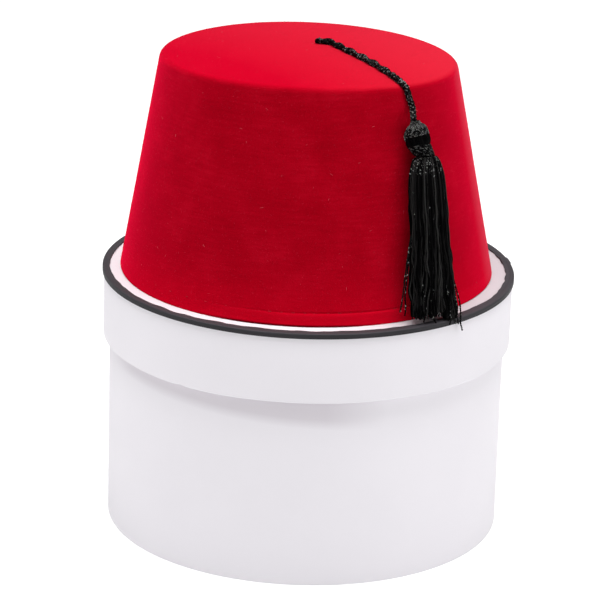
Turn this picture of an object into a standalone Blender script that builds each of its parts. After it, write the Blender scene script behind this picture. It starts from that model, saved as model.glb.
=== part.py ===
"""A red felt fez with a black cord and tassel, standing on its round card hat box.

Metres, +Z up. The origin is the middle of the box's underside, and -Y faces the viewer. The hat is one
blocked piece of felt. Its cord leaves the middle of the tip, lies over the tip's edge and carries the tassel.
"""

import math

import bmesh
import bpy
from mathutils import Euler, Matrix, Vector

# Touching pieces keep this gap.
GAP = 0.0003
# Sides of each large turned piece.
TURN_SIDES = 80
# An edge that turns by more than this is drawn sharp.
SHARP_FROM = math.radians(35)

# Card box and its lid.
BOX_RADIUS = 0.1006
BOX_CARD = 0.0020
LID_RADIUS = 0.1037
LID_CARD = 0.0022
LID_TOP = 0.1318
LID_RIM_BOTTOM = 0.0967

# Dark tape folded over the lid's top edge.
TAPE_THICKNESS = 0.0005
TAPE_ON_TOP = 0.0037
TAPE_DOWN_SIDE = 0.0018
TAPE_CORNER_STEPS = 4

# Felt crown. The tip and side outlines would meet at TIP_RADIUS, and EDGE_ROUND softens that corner.
HAT_MIDDLE = Vector((-0.0018, 0.0018))
HAT_BASE = LID_TOP + GAP
FELT = 0.0026
BASE_RADIUS = 0.0944
TIP_RADIUS = 0.0740
SIDE_HEIGHT = 0.1092
DOME_HEIGHT = 0.0068
EDGE_ROUND = 0.0045
BASE_ROUND = 0.0007

# Cord from the tip's middle to the tassel.
CORD_RADIUS = 0.0017
CORD_SIDES_SETTING = 2
CORD_POINT_SPACING = 0.0034
# Each row: millimetres along the felt from the tip's middle, bearing in degrees from +X, millimetres
# that the cord is lifted off the felt.
CORD_ROUTE = [
    (2.0, 0.0, 0.0),
    (5.4, 5.0, 0.0),
    (8.6, -4.0, 0.0),
    (11.8, -19.0, 0.0),
    (16.8, -32.0, 0.0),
    (25.7, -40.6, 0.0),
    (35.4, -44.2, 0.0),
    (46.0, -46.7, 0.0),
    (58.3, -48.8, 0.0),
    (68.5, -50.4, 0.0),
    (73.3, -51.4, 0.0),
    (77.9, -51.3, 0.0),
    (81.6, -50.6, 0.6),
]
# The cord's last stretch stands straight on the tassel's head.
CORD_END_LENGTH = 0.0020

# Tassel, hanging against the felt. Its own frame has the neck's foot at the origin. The skirt hangs down
# -Z, with X along the felt and +Y into it. The neck bends to the viewer's left under the head.
TASSEL_BEARING = math.radians(-49.4)
TASSEL_LEAN = math.radians(2.3)
NECK_FOOT_HEIGHT = 0.2105
TASSEL_OFF_FELT = 0.0065
NECK_BEND = math.radians(24.0)
NECK_LENGTH = 0.0080
# Rows of the head, the neck and its root in the skirt: how far up the bent neck, and the radius.
HEAD_ROWS = [
    (0.0170, 0.0024),
    (0.0162, 0.0040),
    (0.0148, 0.0052),
    (0.0130, 0.0060),
    (0.0108, 0.0061),
    (0.0086, 0.0058),
    (0.0072, 0.0052),
    (0.0069, 0.0043),
    (0.0006, 0.0035),
    (-0.0030, 0.0030),
]
HEAD_SIDES = 16
BAND_TOP = 0.0066
BAND_BOTTOM = 0.0006
BAND_THICKNESS = 0.0008
BAND_SIDES = 24
# Rows of the skirt: how far below the neck's foot, half its width, half its depth, and the radius of
# each lock.
SKIRT_ROWS = [
    (0.0000, 0.0042, 0.0040, 0.0012),
    (0.0020, 0.0068, 0.0049, 0.0016),
    (0.0060, 0.0092, 0.0057, 0.0018),
    (0.0130, 0.0107, 0.0061, 0.0020),
    (0.0300, 0.0114, 0.0062, 0.0020),
    (0.0500, 0.0128, 0.0062, 0.0021),
    (0.0700, 0.0138, 0.0061, 0.0020),
    (0.0776, 0.0134, 0.0058, 0.0014),
]
LOCKS = 18
LOCK_SIDES = 6
LOCK_SHORTEST = 0.95
# The locks leave the neck at staggered heights, over this much.
LOCK_STAGGER = 0.0006
CORE_SIDES = 18
CORE_RISE = 0.0005
CORE_BOTTOM_ROW = 6


def clear_scene():
    for obj in list(bpy.data.objects):
        bpy.data.objects.remove(obj)


def material(name, colour, roughness):
    """A plain finish in the piece's own colour."""
    made = bpy.data.materials.new(name)
    made.use_nodes = True
    shader = made.node_tree.nodes["Principled BSDF"]
    shader.inputs["Base Color"].default_value = (*colour, 1.0)
    shader.inputs["Roughness"].default_value = roughness
    shader.inputs["Metallic"].default_value = 0.0
    return made


def show(name, data, finish):
    """Puts the mesh or curve in the scene under the piece's name."""
    data.materials.append(finish)
    obj = bpy.data.objects.new(name, data)
    bpy.context.scene.collection.objects.link(obj)
    if obj.type == "MESH":
        data.shade_smooth()
        data.set_sharp_from_angle(angle=SHARP_FROM)
    return obj


def turned(name, outline, finish, ring=False, middle=(0.0, 0.0)):
    """A solid turned round the vertical from (radius, height) points.

    A ring's outline closes on itself. Any other outline starts and ends on the axis.
    """
    mesh = bpy.data.meshes.new(name)
    bm = bmesh.new()
    points = [bm.verts.new((radius, 0.0, height)) for radius, height in outline]
    followers = points[1:] + points[:1] if ring else points[1:]
    edges = [bm.edges.new(pair) for pair in zip(points, followers)]
    bmesh.ops.spin(
        bm, geom=points + edges, cent=(0, 0, 0), axis=(0, 0, 1), angle=math.tau, steps=TURN_SIDES
    )
    bmesh.ops.remove_doubles(bm, verts=bm.verts, dist=1e-6)
    bmesh.ops.recalc_face_normals(bm, faces=bm.faces)
    bmesh.ops.translate(bm, verts=bm.verts, vec=(*middle, 0.0))
    bm.to_mesh(mesh)
    bm.free()
    return show(name, mesh, finish)


# The felt's outer outline: a shallow dome, a rounded edge and a straight side.
SIDE_LEAN = math.atan2(BASE_RADIUS - TIP_RADIUS, SIDE_HEIGHT)
DOME_RADIUS = (TIP_RADIUS**2 + DOME_HEIGHT**2) / (2 * DOME_HEIGHT)
DOME_MIDDLE = Vector((0.0, HAT_BASE + SIDE_HEIGHT + DOME_HEIGHT - DOME_RADIUS))


def edge_middle():
    """Middle of the tip's rounded edge, which touches both the dome and the side."""
    up_side = Vector((-math.sin(SIDE_LEAN), math.cos(SIDE_LEAN)))
    out_of_side = Vector((math.cos(SIDE_LEAN), math.sin(SIDE_LEAN)))
    corner = Vector((TIP_RADIUS, HAT_BASE + SIDE_HEIGHT))
    start = corner - out_of_side * EDGE_ROUND
    from_dome = start - DOME_MIDDLE
    along = from_dome.dot(up_side)
    reach = (DOME_RADIUS - EDGE_ROUND) ** 2 - from_dome.length_squared
    return start + up_side * (math.sqrt(along**2 + reach) - along)


EDGE_MIDDLE = edge_middle()
DOME_ANGLE = math.atan2(EDGE_MIDDLE.x - DOME_MIDDLE.x, EDGE_MIDDLE.y - DOME_MIDDLE.y)
EDGE_ANGLE = math.pi / 2 - SIDE_LEAN - DOME_ANGLE
DOME_RUN = DOME_RADIUS * DOME_ANGLE
EDGE_RUN = EDGE_ROUND * EDGE_ANGLE


def on_felt(run, lift=0.0):
    """(radius, height) of the point run along the outline from the tip's middle, lifted off the felt."""
    if run <= DOME_RUN:
        angle = run / DOME_RADIUS
        foot = DOME_MIDDLE + DOME_RADIUS * Vector((math.sin(angle), math.cos(angle)))
    elif run <= DOME_RUN + EDGE_RUN:
        angle = DOME_ANGLE + (run - DOME_RUN) / EDGE_ROUND
        foot = EDGE_MIDDLE + EDGE_ROUND * Vector((math.sin(angle), math.cos(angle)))
    else:
        angle = math.pi / 2 - SIDE_LEAN
        foot = EDGE_MIDDLE + EDGE_ROUND * Vector((math.sin(angle), math.cos(angle)))
        down_side = Vector((math.sin(SIDE_LEAN), -math.cos(SIDE_LEAN)))
        foot += down_side * (run - DOME_RUN - EDGE_RUN)
    return foot + lift * Vector((math.sin(angle), math.cos(angle)))


def side_radius(height, inset=0.0):
    """Radius of the side at a height, moved in by inset square to the felt."""
    return BASE_RADIUS - (height - HAT_BASE) * math.tan(SIDE_LEAN) - inset / math.cos(SIDE_LEAN)


def make_crown(felt_finish):
    """One hollow felt cap: outside from the tip's middle down, round the cut base, and back up inside."""
    dome_runs = [DOME_RUN * share for share in (0.0, 0.25, 0.5, 0.75, 0.92)]
    edge_runs = [DOME_RUN + EDGE_RUN * share for share in (0.0, 0.25, 0.5, 0.75, 1.0)]
    side_heights = [HAT_BASE + SIDE_HEIGHT * share for share in (0.66, 0.33)]
    low = HAT_BASE + BASE_ROUND
    corner = BASE_ROUND * (1 - math.sqrt(0.5))
    outside = [tuple(on_felt(run)) for run in dome_runs + edge_runs]
    outside += [(side_radius(height), height) for height in [*side_heights, low]]
    outside += [
        (side_radius(HAT_BASE) - corner, HAT_BASE + corner),
        (side_radius(HAT_BASE) - BASE_ROUND, HAT_BASE),
    ]
    inside = [tuple(on_felt(run, lift=-FELT)) for run in dome_runs + edge_runs]
    inside += [(side_radius(height, FELT), height) for height in [*side_heights, low]]
    inside += [
        (side_radius(HAT_BASE, FELT) + corner, HAT_BASE + corner),
        (side_radius(HAT_BASE, FELT) + BASE_ROUND, HAT_BASE),
    ]
    return turned("crown", outside + inside[::-1], felt_finish, middle=HAT_MIDDLE)


def neck_place(up):
    """Matrix of the place and turn of a ring that far up the bent neck and head."""
    share = min(max(up / NECK_LENGTH, 0.0), 1.0)
    turn = NECK_BEND * share
    bend_radius = NECK_LENGTH / NECK_BEND
    straight = up - NECK_LENGTH * share
    across = -bend_radius * (1 - math.cos(turn)) - straight * math.sin(turn)
    height = bend_radius * math.sin(turn) + straight * math.cos(turn)
    return Matrix.Translation((across, 0, height)) @ Matrix.Rotation(-turn, 4, "Y")


def cord_points(hanger):
    """Points along the cord's middle line, read from a Catmull-Rom curve through the route's rows."""
    guide = []
    for run, bearing, lift in CORD_ROUTE:
        radius, height = on_felt(run / 1000, CORD_RADIUS + GAP + lift / 1000)
        turn = math.radians(bearing)
        flat = HAT_MIDDLE + radius * Vector((math.cos(turn), math.sin(turn)))
        guide.append(Vector((flat.x, flat.y, height)))
    head_top = HEAD_ROWS[0][0] + GAP
    for above in (head_top + CORD_END_LENGTH, head_top):
        guide.append(hanger @ neck_place(above) @ Vector())
    guide = [2 * guide[0] - guide[1], *guide, 2 * guide[-1] - guide[-2]]
    points = []
    for before, start, end, after in zip(guide, guide[1:], guide[2:], guide[3:]):
        steps = max(1, round((end - start).length / CORD_POINT_SPACING))
        for step in range(steps):
            t = step / steps
            bend = 2 * before - 5 * start + 4 * end - after
            twist = 3 * start - before - 3 * end + after
            points.append(start + 0.5 * ((end - before) * t + bend * t**2 + twist * t**3))
    return [*points, guide[-2]]


def make_stalk(hanger, cord_finish):
    """The cord's plain tube."""
    curve = bpy.data.curves.new("stalk", "CURVE")
    curve.dimensions = "3D"
    curve.bevel_depth = CORD_RADIUS
    curve.bevel_resolution = CORD_SIDES_SETTING
    curve.use_fill_caps = True
    line = curve.splines.new("POLY")
    points = cord_points(hanger)
    line.points.add(len(points) - 1)
    for spot, place in zip(line.points, points):
        spot.co = (*place, 1.0)
    return show("stalk", curve, cord_finish)


def tassel_hanger():
    """The tassel's frame: the neck's foot off the felt, turned to the felt's slope and bearing."""
    edge_foot = DOME_RUN + EDGE_RUN
    lift = TASSEL_OFF_FELT * math.sin(SIDE_LEAN)
    down = (on_felt(edge_foot).y + lift - NECK_FOOT_HEIGHT) / math.cos(SIDE_LEAN)
    radius, height = on_felt(edge_foot + down, TASSEL_OFF_FELT)
    out = HAT_MIDDLE + radius * Vector((math.cos(TASSEL_BEARING), math.sin(TASSEL_BEARING)))
    turns = Euler((-SIDE_LEAN, TASSEL_LEAN, TASSEL_BEARING + math.pi / 2))
    return Matrix.Translation((*out, height)) @ turns.to_matrix().to_4x4()


def loft(bm, rings):
    """Joins rings of points, top to bottom, into one closed body in bm."""
    rows = [[bm.verts.new(point) for point in ring] for ring in rings]
    for upper, lower in zip(rows, rows[1:]):
        for index, (a, b) in enumerate(zip(upper, lower)):
            after = (index + 1) % len(upper)
            bm.faces.new((a, b, lower[after], upper[after]))
    bm.faces.new(rows[0])
    bm.faces.new(rows[-1][::-1])


def oval(half_width, half_depth, height, sides, start=0.0, middle=(0.0, 0.0)):
    """Ring of points at one height."""
    turns = [start + math.tau * index / sides for index in range(sides)]
    return [
        (middle[0] + half_width * math.cos(a), middle[1] + half_depth * math.sin(a), height)
        for a in turns
    ]


def body_mesh(name, rings, place):
    """Mesh of one lofted body, moved by the matrix place."""
    mesh = bpy.data.meshes.new(name)
    bm = bmesh.new()
    loft(bm, rings)
    bmesh.ops.transform(bm, matrix=place, verts=bm.verts)
    bmesh.ops.recalc_face_normals(bm, faces=bm.faces)
    bm.to_mesh(mesh)
    bm.free()
    return mesh


def lock_rings(number):
    """Rings of one lock: it leaves the neck, runs down the skirt and ends at its own length."""
    turn = math.tau * (number + 0.5) / LOCKS
    # Golden-ratio steps spread the lengths so that no two neighbours match.
    spread = (number * 0.618034) % 1.0
    stretch = LOCK_SHORTEST + (1 - LOCK_SHORTEST) * spread
    drop = LOCK_STAGGER * spread
    rings = []
    for down, half_width, half_depth, radius in SKIRT_ROWS:
        middle = ((half_width - radius) * math.cos(turn), (half_depth - radius) * math.sin(turn))
        height = -down * stretch - drop
        rings.append(oval(radius, radius, height, LOCK_SIDES, start=turn, middle=middle))
    return rings


def neck_ring(up, radius, sides):
    """Ring of points round the bent neck or the head."""
    return [neck_place(up) @ Vector(point) for point in oval(radius, radius, 0.0, sides)]


def make_tassel(hanger, thread_finish):
    """Head, neck, core and locks, fused into one solid."""
    head = [neck_ring(up, radius, HEAD_SIDES) for up, radius in HEAD_ROWS]
    tassel = show("tassel", body_mesh("tassel", head, hanger), thread_finish)
    core = [
        oval(half_width - radius, half_depth - radius, CORE_RISE - down, CORE_SIDES)
        for down, half_width, half_depth, radius in SKIRT_ROWS[: CORE_BOTTOM_ROW + 1]
    ]
    parts = [core] + [lock_rings(number) for number in range(LOCKS)]
    for number, rings in enumerate(parts):
        mesh = body_mesh("tassel_part", rings, hanger)
        helper = show(f"tassel_part_{number:02d}", mesh, thread_finish)
        helper.hide_render = True
        helper.display_type = "WIRE"
        fuse = tassel.modifiers.new(f"fuse_{number:02d}", "BOOLEAN")
        fuse.operation = "UNION"
        fuse.object = helper


def make_neck_band(hanger, thread_finish):
    """Wound band round the tassel's neck, a short tapered tube with softened ends."""
    (top, top_radius), (bottom, bottom_radius) = HEAD_ROWS[-3:-1]
    narrowing = (top_radius - bottom_radius) / (top - bottom)
    soft = BAND_THICKNESS / 3
    # Each row: how far up the neck, and how far out from it.
    rows = [
        (BAND_TOP, GAP),
        (BAND_TOP, GAP + BAND_THICKNESS - soft),
        (BAND_TOP - soft, GAP + BAND_THICKNESS),
        (BAND_BOTTOM + soft, GAP + BAND_THICKNESS),
        (BAND_BOTTOM, GAP + BAND_THICKNESS - soft),
        (BAND_BOTTOM, GAP),
    ]
    mesh = bpy.data.meshes.new("neck_band")
    bm = bmesh.new()
    rings = []
    for up, out in rows:
        radius = bottom_radius + (up - bottom) * narrowing + out
        rings.append([bm.verts.new(point) for point in neck_ring(up, radius, BAND_SIDES)])
    for upper, lower in zip(rings, rings[1:] + rings[:1]):
        for index in range(BAND_SIDES):
            after = (index + 1) % BAND_SIDES
            bm.faces.new((upper[index], lower[index], lower[after], upper[after]))
    bmesh.ops.transform(bm, matrix=hanger, verts=bm.verts)
    bmesh.ops.recalc_face_normals(bm, faces=bm.faces)
    bm.to_mesh(mesh)
    bm.free()
    show("neck_band", mesh, thread_finish)


def make_box_body(card_finish):
    """Round card cup, open at the top."""
    rim = LID_TOP - LID_CARD - GAP
    outline = [
        (0.0, 0.0),
        (BOX_RADIUS, 0.0),
        (BOX_RADIUS, rim),
        (BOX_RADIUS - BOX_CARD, rim),
        (BOX_RADIUS - BOX_CARD, BOX_CARD),
        (0.0, BOX_CARD),
    ]
    return turned("box_body", outline, card_finish)


def make_box_lid(card_finish):
    """Card disc with a deep rim that reaches down outside the box."""
    outline = [
        (0.0, LID_TOP),
        (LID_RADIUS, LID_TOP),
        (LID_RADIUS, LID_RIM_BOTTOM),
        (LID_RADIUS - LID_CARD, LID_RIM_BOTTOM),
        (LID_RADIUS - LID_CARD, LID_TOP - LID_CARD),
        (0.0, LID_TOP - LID_CARD),
    ]
    return turned("box_lid", outline, card_finish)


def make_lid_trim(tape_finish):
    """Tape folded over the lid's top edge, with its fold rounded."""
    inner_edge = LID_RADIUS - TAPE_ON_TOP
    lower_edge = LID_TOP - TAPE_DOWN_SIDE
    fold = GAP + TAPE_THICKNESS
    turns = [math.pi / 2 * (1 - step / TAPE_CORNER_STEPS) for step in range(TAPE_CORNER_STEPS + 1)]
    outline = [(inner_edge, LID_TOP + GAP), (inner_edge, LID_TOP + fold)]
    outline += [(LID_RADIUS + fold * math.cos(a), LID_TOP + fold * math.sin(a)) for a in turns]
    outline += [
        (LID_RADIUS + fold, lower_edge),
        (LID_RADIUS + GAP, lower_edge),
        (LID_RADIUS + GAP, LID_TOP + GAP),
    ]
    return turned("lid_trim", outline, tape_finish, ring=True)


clear_scene()
red_felt = material("red_felt", (0.55, 0.006, 0.024), 0.95)
black_cord = material("black_cord", (0.012, 0.012, 0.014), 0.6)
tassel_thread = material("tassel_thread", (0.010, 0.010, 0.012), 0.5)
band_thread = material("band_thread", (0.014, 0.014, 0.016), 0.4)
box_card = material("box_card", (0.86, 0.86, 0.88), 0.7)
lid_card = material("lid_card", (0.86, 0.86, 0.88), 0.7)
dark_tape = material("dark_tape", (0.055, 0.053, 0.058), 0.55)

make_box_body(box_card)
make_box_lid(lid_card)
make_lid_trim(dark_tape)
make_crown(red_felt)
tassel_frame = tassel_hanger()
make_stalk(tassel_frame, black_cord)
make_tassel(tassel_frame, tassel_thread)
make_neck_band(tassel_frame, band_thread)
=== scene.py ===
"""A red felt fez with a black cord and tassel, standing on its round white card hat box.

Metres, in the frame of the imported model: +Z up, the origin at the middle of the box's underside, and -Y
towards the viewer.
"""

import math

import bmesh
import bpy
from mathutils import Euler, Matrix, Vector, noise


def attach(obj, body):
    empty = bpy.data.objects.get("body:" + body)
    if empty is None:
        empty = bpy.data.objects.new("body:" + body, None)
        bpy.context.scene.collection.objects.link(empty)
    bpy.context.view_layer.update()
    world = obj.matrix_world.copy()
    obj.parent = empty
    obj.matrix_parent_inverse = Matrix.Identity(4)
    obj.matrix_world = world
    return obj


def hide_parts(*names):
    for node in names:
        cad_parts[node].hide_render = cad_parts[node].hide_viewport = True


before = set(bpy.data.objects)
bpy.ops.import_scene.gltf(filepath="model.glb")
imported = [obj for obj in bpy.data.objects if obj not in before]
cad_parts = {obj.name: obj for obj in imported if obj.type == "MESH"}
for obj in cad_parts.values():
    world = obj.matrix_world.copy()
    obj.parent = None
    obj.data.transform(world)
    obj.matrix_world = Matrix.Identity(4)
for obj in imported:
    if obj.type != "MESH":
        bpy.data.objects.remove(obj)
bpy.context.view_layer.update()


# ------------------------------------------------------------------------------------------------
# The studio: a white floor that runs on into white, one broad soft light overhead, a smaller one at
# the viewer's right and a weaker one low at the left. The camera looks down on the hat from the front.

CAMERA_PLACE = Vector((-0.00379, -1.51509, 0.63349))
CAMERA_DIP = 0.3304
CAMERA_ROLL = 0.030
CAMERA_LENS = 188.4
CAMERA_SENSOR = 36.0
FLOOR_HALF = 5.0
FLOOR_WHITE = (0.48, 0.48, 0.48, 1.0)
FLOOR_GLOW = 0.58
FLOOR_SEEN_GLOW = 0.62
ROOM_LIGHT = 0.30
PURE_WHITE = (1.0, 1.0, 1.0, 1.0)
# Each soft light: its place, its width and height, what it is aimed at, and its watts.
SOFT_LIGHTS = {
    "light_above": ((0.02, -0.06, 1.80), (1.5, 1.3), (0.0, 0.0, 0.15), 49.0),
    "light_right": ((1.50, -0.65, 0.70), (0.6, 0.7), (0.0, 0.0, 0.12), 5.2),
    "light_left": ((-1.45, -0.42, 0.25), (0.8, 0.8), (0.0, 0.0, 0.10), 3.4),
}


def placed(name, data):
    """A new object in the scene."""
    obj = bpy.data.objects.new(name, data)
    bpy.context.scene.collection.objects.link(obj)
    return obj


def fill(made, inputs):
    """Sets a node's inputs to values, or links them to other nodes' outputs."""
    for name, value in inputs.items():
        if isinstance(value, bpy.types.NodeSocket):
            made.id_data.links.new(value, made.inputs[name])
        else:
            made.inputs[name].default_value = value
    return made


def node(tree, kind, inputs=None, **settings):
    """A new node with its settings and inputs."""
    made = tree.nodes.new(kind)
    for name, value in settings.items():
        setattr(made, name, value)
    return fill(made, inputs or {})


def result(tree, kind, inputs=None, **settings):
    """What a new node puts out: its first output in use."""
    return next(out for out in node(tree, kind, inputs, **settings).outputs if out.enabled)


def math_node(tree, operation, *values):
    """The result of one sum of numbers or number fields."""
    return result(tree, "ShaderNodeMath", dict(enumerate(values)), operation=operation)


def material(name):
    """A new material and its tree, with a Principled shader ready on the output."""
    made = bpy.data.materials.new(name)
    made.use_nodes = True
    return made, made.node_tree, made.node_tree.nodes["Principled BSDF"]


camera_data = bpy.data.cameras.new("camera")
camera_data.lens = CAMERA_LENS
camera_data.sensor_width = CAMERA_SENSOR
camera = placed("camera", camera_data)
camera.matrix_world = (
    Matrix.Translation(CAMERA_PLACE)
    @ Matrix.Rotation(math.pi / 2 - CAMERA_DIP, 4, "X")
    @ Matrix.Rotation(CAMERA_ROLL, 4, "Z")
)
bpy.context.scene.camera = camera
bpy.context.scene.view_settings.view_transform = "Standard"

for light_name, (place, size, aim, watts) in SOFT_LIGHTS.items():
    lamp_data = bpy.data.lights.new(light_name, "AREA")
    lamp_data.shape = "RECTANGLE"
    lamp_data.size, lamp_data.size_y = size
    lamp_data.energy = watts
    lamp = placed(light_name, lamp_data)
    lamp.location = place
    lamp.rotation_euler = (Vector(aim) - Vector(place)).to_track_quat("-Z", "Y").to_euler()

# The camera sees the room as plain white, and the room lights the hat less than that.
world = bpy.data.worlds.new("white_room")
bpy.context.scene.world = world
world.use_nodes = True
room = world.node_tree
room_seen = node(room, "ShaderNodeLightPath").outputs["Is Camera Ray"]
room_strength = math_node(room, "MAXIMUM", room_seen, ROOM_LIGHT)
fill(room.nodes["Background"], {"Strength": room_strength, "Color": PURE_WHITE})

floor_mesh = bpy.data.meshes.new("floor")
floor_corners = [(-1, -1), (1, -1), (1, 1), (-1, 1)]
floor_points = [(x * FLOOR_HALF, y * FLOOR_HALF, 0.0) for x, y in floor_corners]
floor_mesh.from_pydata(floor_points, [], [(0, 1, 2, 3)])
floor_white, floor_tree, floor_shader = material("floor_white")
floor_seen = node(floor_tree, "ShaderNodeLightPath").outputs["Is Camera Ray"]
floor_glow = math_node(floor_tree, "MULTIPLY_ADD", floor_seen, FLOOR_SEEN_GLOW - FLOOR_GLOW, FLOOR_GLOW)
fill(floor_shader, {"Base Color": FLOOR_WHITE, "Roughness": 0.8, "Specular IOR Level": 0.2})
fill(floor_shader, {"Emission Color": PURE_WHITE, "Emission Strength": floor_glow})
floor_mesh.materials.append(floor_white)
floor = placed("floor", floor_mesh)


# ------------------------------------------------------------------------------------------------
# The hat box: a round cup of stiff card, rolled from one strip, closed below with a disc and covered
# in smooth white paper.

BOX_RADIUS = 0.1006
BOX_CARD = 0.0020
BOX_EDGE_ROUND = 0.0009
BOX_RIM_ROUND = 0.4 * BOX_CARD
LID_CARD = 0.0022
LID_TOP = 0.1318
TOUCH_GAP = 0.0003
BOX_SIDES = 240
BOX_UNEVEN = 0.00018
BOX_BUMPS = 14.0
BOX_CLOUDS = 22.0
BOX_GRAIN = 1500.0
BOX_SEAM_BEARING = 1.85
SHARP_EDGE = math.radians(32)
CARD_WHITE = (0.80, 0.775, 0.815, 1.0)
CARD_SHADE = (0.73, 0.71, 0.75, 1.0)
# The paper's colour in the painted shadow under the lid's rim.
CARD_RIM_SHADOW = (0.668, 0.632, 0.675, 1.0)
# How the paper's clouds turn into shade and into roughness: from one range to the other.
CLOUDS_TO_SHADE = (0.35, 0.75, 0.0, 0.22)
CLOUDS_TO_ROUGHNESS = (0.3, 0.7, 0.50, 0.62)
# Where the rubbed low edge and the lapped seam fade in: metres above the edge, radians from the seam.
RUBBED_EDGE = (0.0014, 0.0002)
LAPPED_SEAM = (0.0036, 0.0008)
SEAM_SHADE = 0.9
SEAM_SUNK = 3.0
# The painted shadow under the lid's rim: how it slants, and where it fades in from below, the right and the
# back.
RIM_SHADOW_SLANT = 0.062
RIM_SHADOW_UP = (0.0826, 0.0876)
RIM_SHADOW_LEFT = (0.040, 0.010)
RIM_SHADOW_FRONT = (-0.025, -0.052)


def new_tree(name, kind, inputs, outputs):
    """A node group with named sockets. inputs and outputs list the names under each socket's kind."""
    tree = bpy.data.node_groups.new(name, kind)
    for way, sockets in (("INPUT", inputs), ("OUTPUT", outputs)):
        for socket_kind, labels in sockets.items():
            for label in labels:
                tree.interface.new_socket(label, in_out=way, socket_type="NodeSocket" + socket_kind)
    return tree, tree.nodes.new("NodeGroupInput").outputs, tree.nodes.new("NodeGroupOutput")


def shape_tree(name, start, inputs):
    """A tree that makes one shape of one material, from the mesh or curve start and named inputs."""
    inputs = {"Geometry": [start], **inputs, "Material": ["Material"]}
    return new_tree(name, "GeometryNodeTree", inputs, {"Geometry": ["Shape"]})


def finished(tree, shape, given, out):
    """Ends a shape's tree: instances made real, smooth faces and the piece's material."""
    real = result(tree, "GeometryNodeRealizeInstances", {"Geometry": shape})
    smooth = result(tree, "GeometryNodeSetShadeSmooth", {"Geometry": real})
    clad = result(tree, "GeometryNodeSetMaterial", {"Geometry": smooth, "Material": given["Material"]})
    fill(out, {"Shape": clad})
    return tree


def grown(name, start, tree, values):
    """The plain mesh object that a tree grows from the mesh or curve start."""
    obj = placed(name, start)
    modifier = obj.modifiers.new("grow", "NODES")
    modifier.node_group = tree
    for item in tree.interface.items_tree:
        if item.in_out == "INPUT" and item.name in values:
            modifier[item.identifier] = values[item.name]
    depsgraph = bpy.context.evaluated_depsgraph_get()
    mesh = bpy.data.meshes.new_from_object(obj.evaluated_get(depsgraph), depsgraph=depsgraph)
    bpy.data.objects.remove(obj)
    mesh.name = name
    return placed(name, mesh)


def times(tree, first, *others):
    """The product of two or more number fields."""
    for other in others:
        first = math_node(tree, "MULTIPLY", first, other)
    return first


def weighted(tree, *pairs):
    """The sum of several number fields, each given with its weight."""
    total = 0.0
    for value, weight in pairs:
        total = math_node(tree, "MULTIPLY_ADD", value, weight, total)
    return total


def vector_math(tree, operation, *vectors, **inputs):
    """The result of one sum of vectors."""
    inputs = {**dict(enumerate(vectors)), **inputs}
    return result(tree, "ShaderNodeVectorMath", inputs, operation=operation)


def axes_of(tree, vector):
    """A vector's X, Y and Z."""
    return node(tree, "ShaderNodeSeparateXYZ", {"Vector": vector}).outputs


def noise_field(tree, spot, scale, detail, distortion=0.0, output="Fac"):
    """A soft random pattern, from 0 to 1."""
    inputs = {"Vector": spot, "Scale": scale, "Detail": detail, "Distortion": distortion}
    return node(tree, "ShaderNodeTexNoise", inputs).outputs[output]


def share(tree, value, start, end, first=0.0, last=1.0, **settings):
    """A number that goes from first to last as the value goes from start to end, and stays there."""
    inputs = {"Value": value, "From Min": start, "From Max": end, "To Min": first, "To Max": last}
    return result(tree, "ShaderNodeMapRange", inputs, **settings)


def moved(tree, shape, **how):
    """A shape with its points moved by an Offset or to a Position."""
    return result(tree, "GeometryNodeSetPosition", {"Geometry": shape, **how})


def turned_tree():
    """Turns an outline's points round the vertical into one closed skin, made a little uneven."""
    inputs = {"Int": ["Sides"], "Float": ["Unevenness", "Bumps per Metre"]}
    tree, given, out = shape_tree("turned_outline", "Outline", inputs)
    rows = result(tree, "GeometryNodeAttributeDomainSize", {"Geometry": given["Outline"]})
    across = math_node(tree, "ADD", given["Sides"], 1.0)
    grid = result(tree, "GeometryNodeMeshGrid", {"Vertices X": rows, "Vertices Y": across})
    index = result(tree, "GeometryNodeInputIndex")
    row = math_node(tree, "FLOOR", math_node(tree, "DIVIDE", math_node(tree, "ADD", index, 0.5), across))
    column = math_node(tree, "SUBTRACT", index, times(tree, row, across))
    angle = times(tree, math_node(tree, "DIVIDE", column, given["Sides"]), math.tau)
    place = result(tree, "GeometryNodeInputPosition")
    sampled = {"Geometry": given["Outline"], "Value": place, "Index": row}
    point = result(tree, "GeometryNodeSampleIndex", sampled, data_type="FLOAT_VECTOR")
    turn = {"Vector": point, "Angle": angle}
    round_place = result(tree, "ShaderNodeVectorRotate", turn, rotation_type="Z_AXIS")
    skin = moved(tree, grid, Position=round_place)
    closed = result(tree, "GeometryNodeMergeByDistance", {"Geometry": skin, "Distance": 1e-6})
    lumps = math_node(tree, "SUBTRACT", noise_field(tree, place, given["Bumps per Metre"], 1.0), 0.5)
    level = vector_math(tree, "MULTIPLY", place, (1.0, 1.0, 0.0))
    outward = vector_math(tree, "NORMALIZE", level)
    push = vector_math(tree, "SCALE", outward, Scale=times(tree, lumps, given["Unevenness"]))
    return finished(tree, moved(tree, closed, Offset=push), given, out)


def softened(corners, steps=4):
    """Outline points with each corner (radius, height, rounding) drawn as a small curve."""
    points = []
    for number, (radius, height, rounding) in enumerate(corners):
        corner = Vector((radius, height))
        if not rounding:
            points.append(corner)
            continue
        before = Vector(corners[number - 1][:2])
        after = Vector(corners[(number + 1) % len(corners)][:2])
        start = corner + (before - corner).normalized() * rounding
        end = corner + (after - corner).normalized() * rounding
        for step in range(steps + 1):
            t = step / steps
            points.append(start * (1 - t) ** 2 + corner * 2 * t * (1 - t) + end * t**2)
    return points


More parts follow.
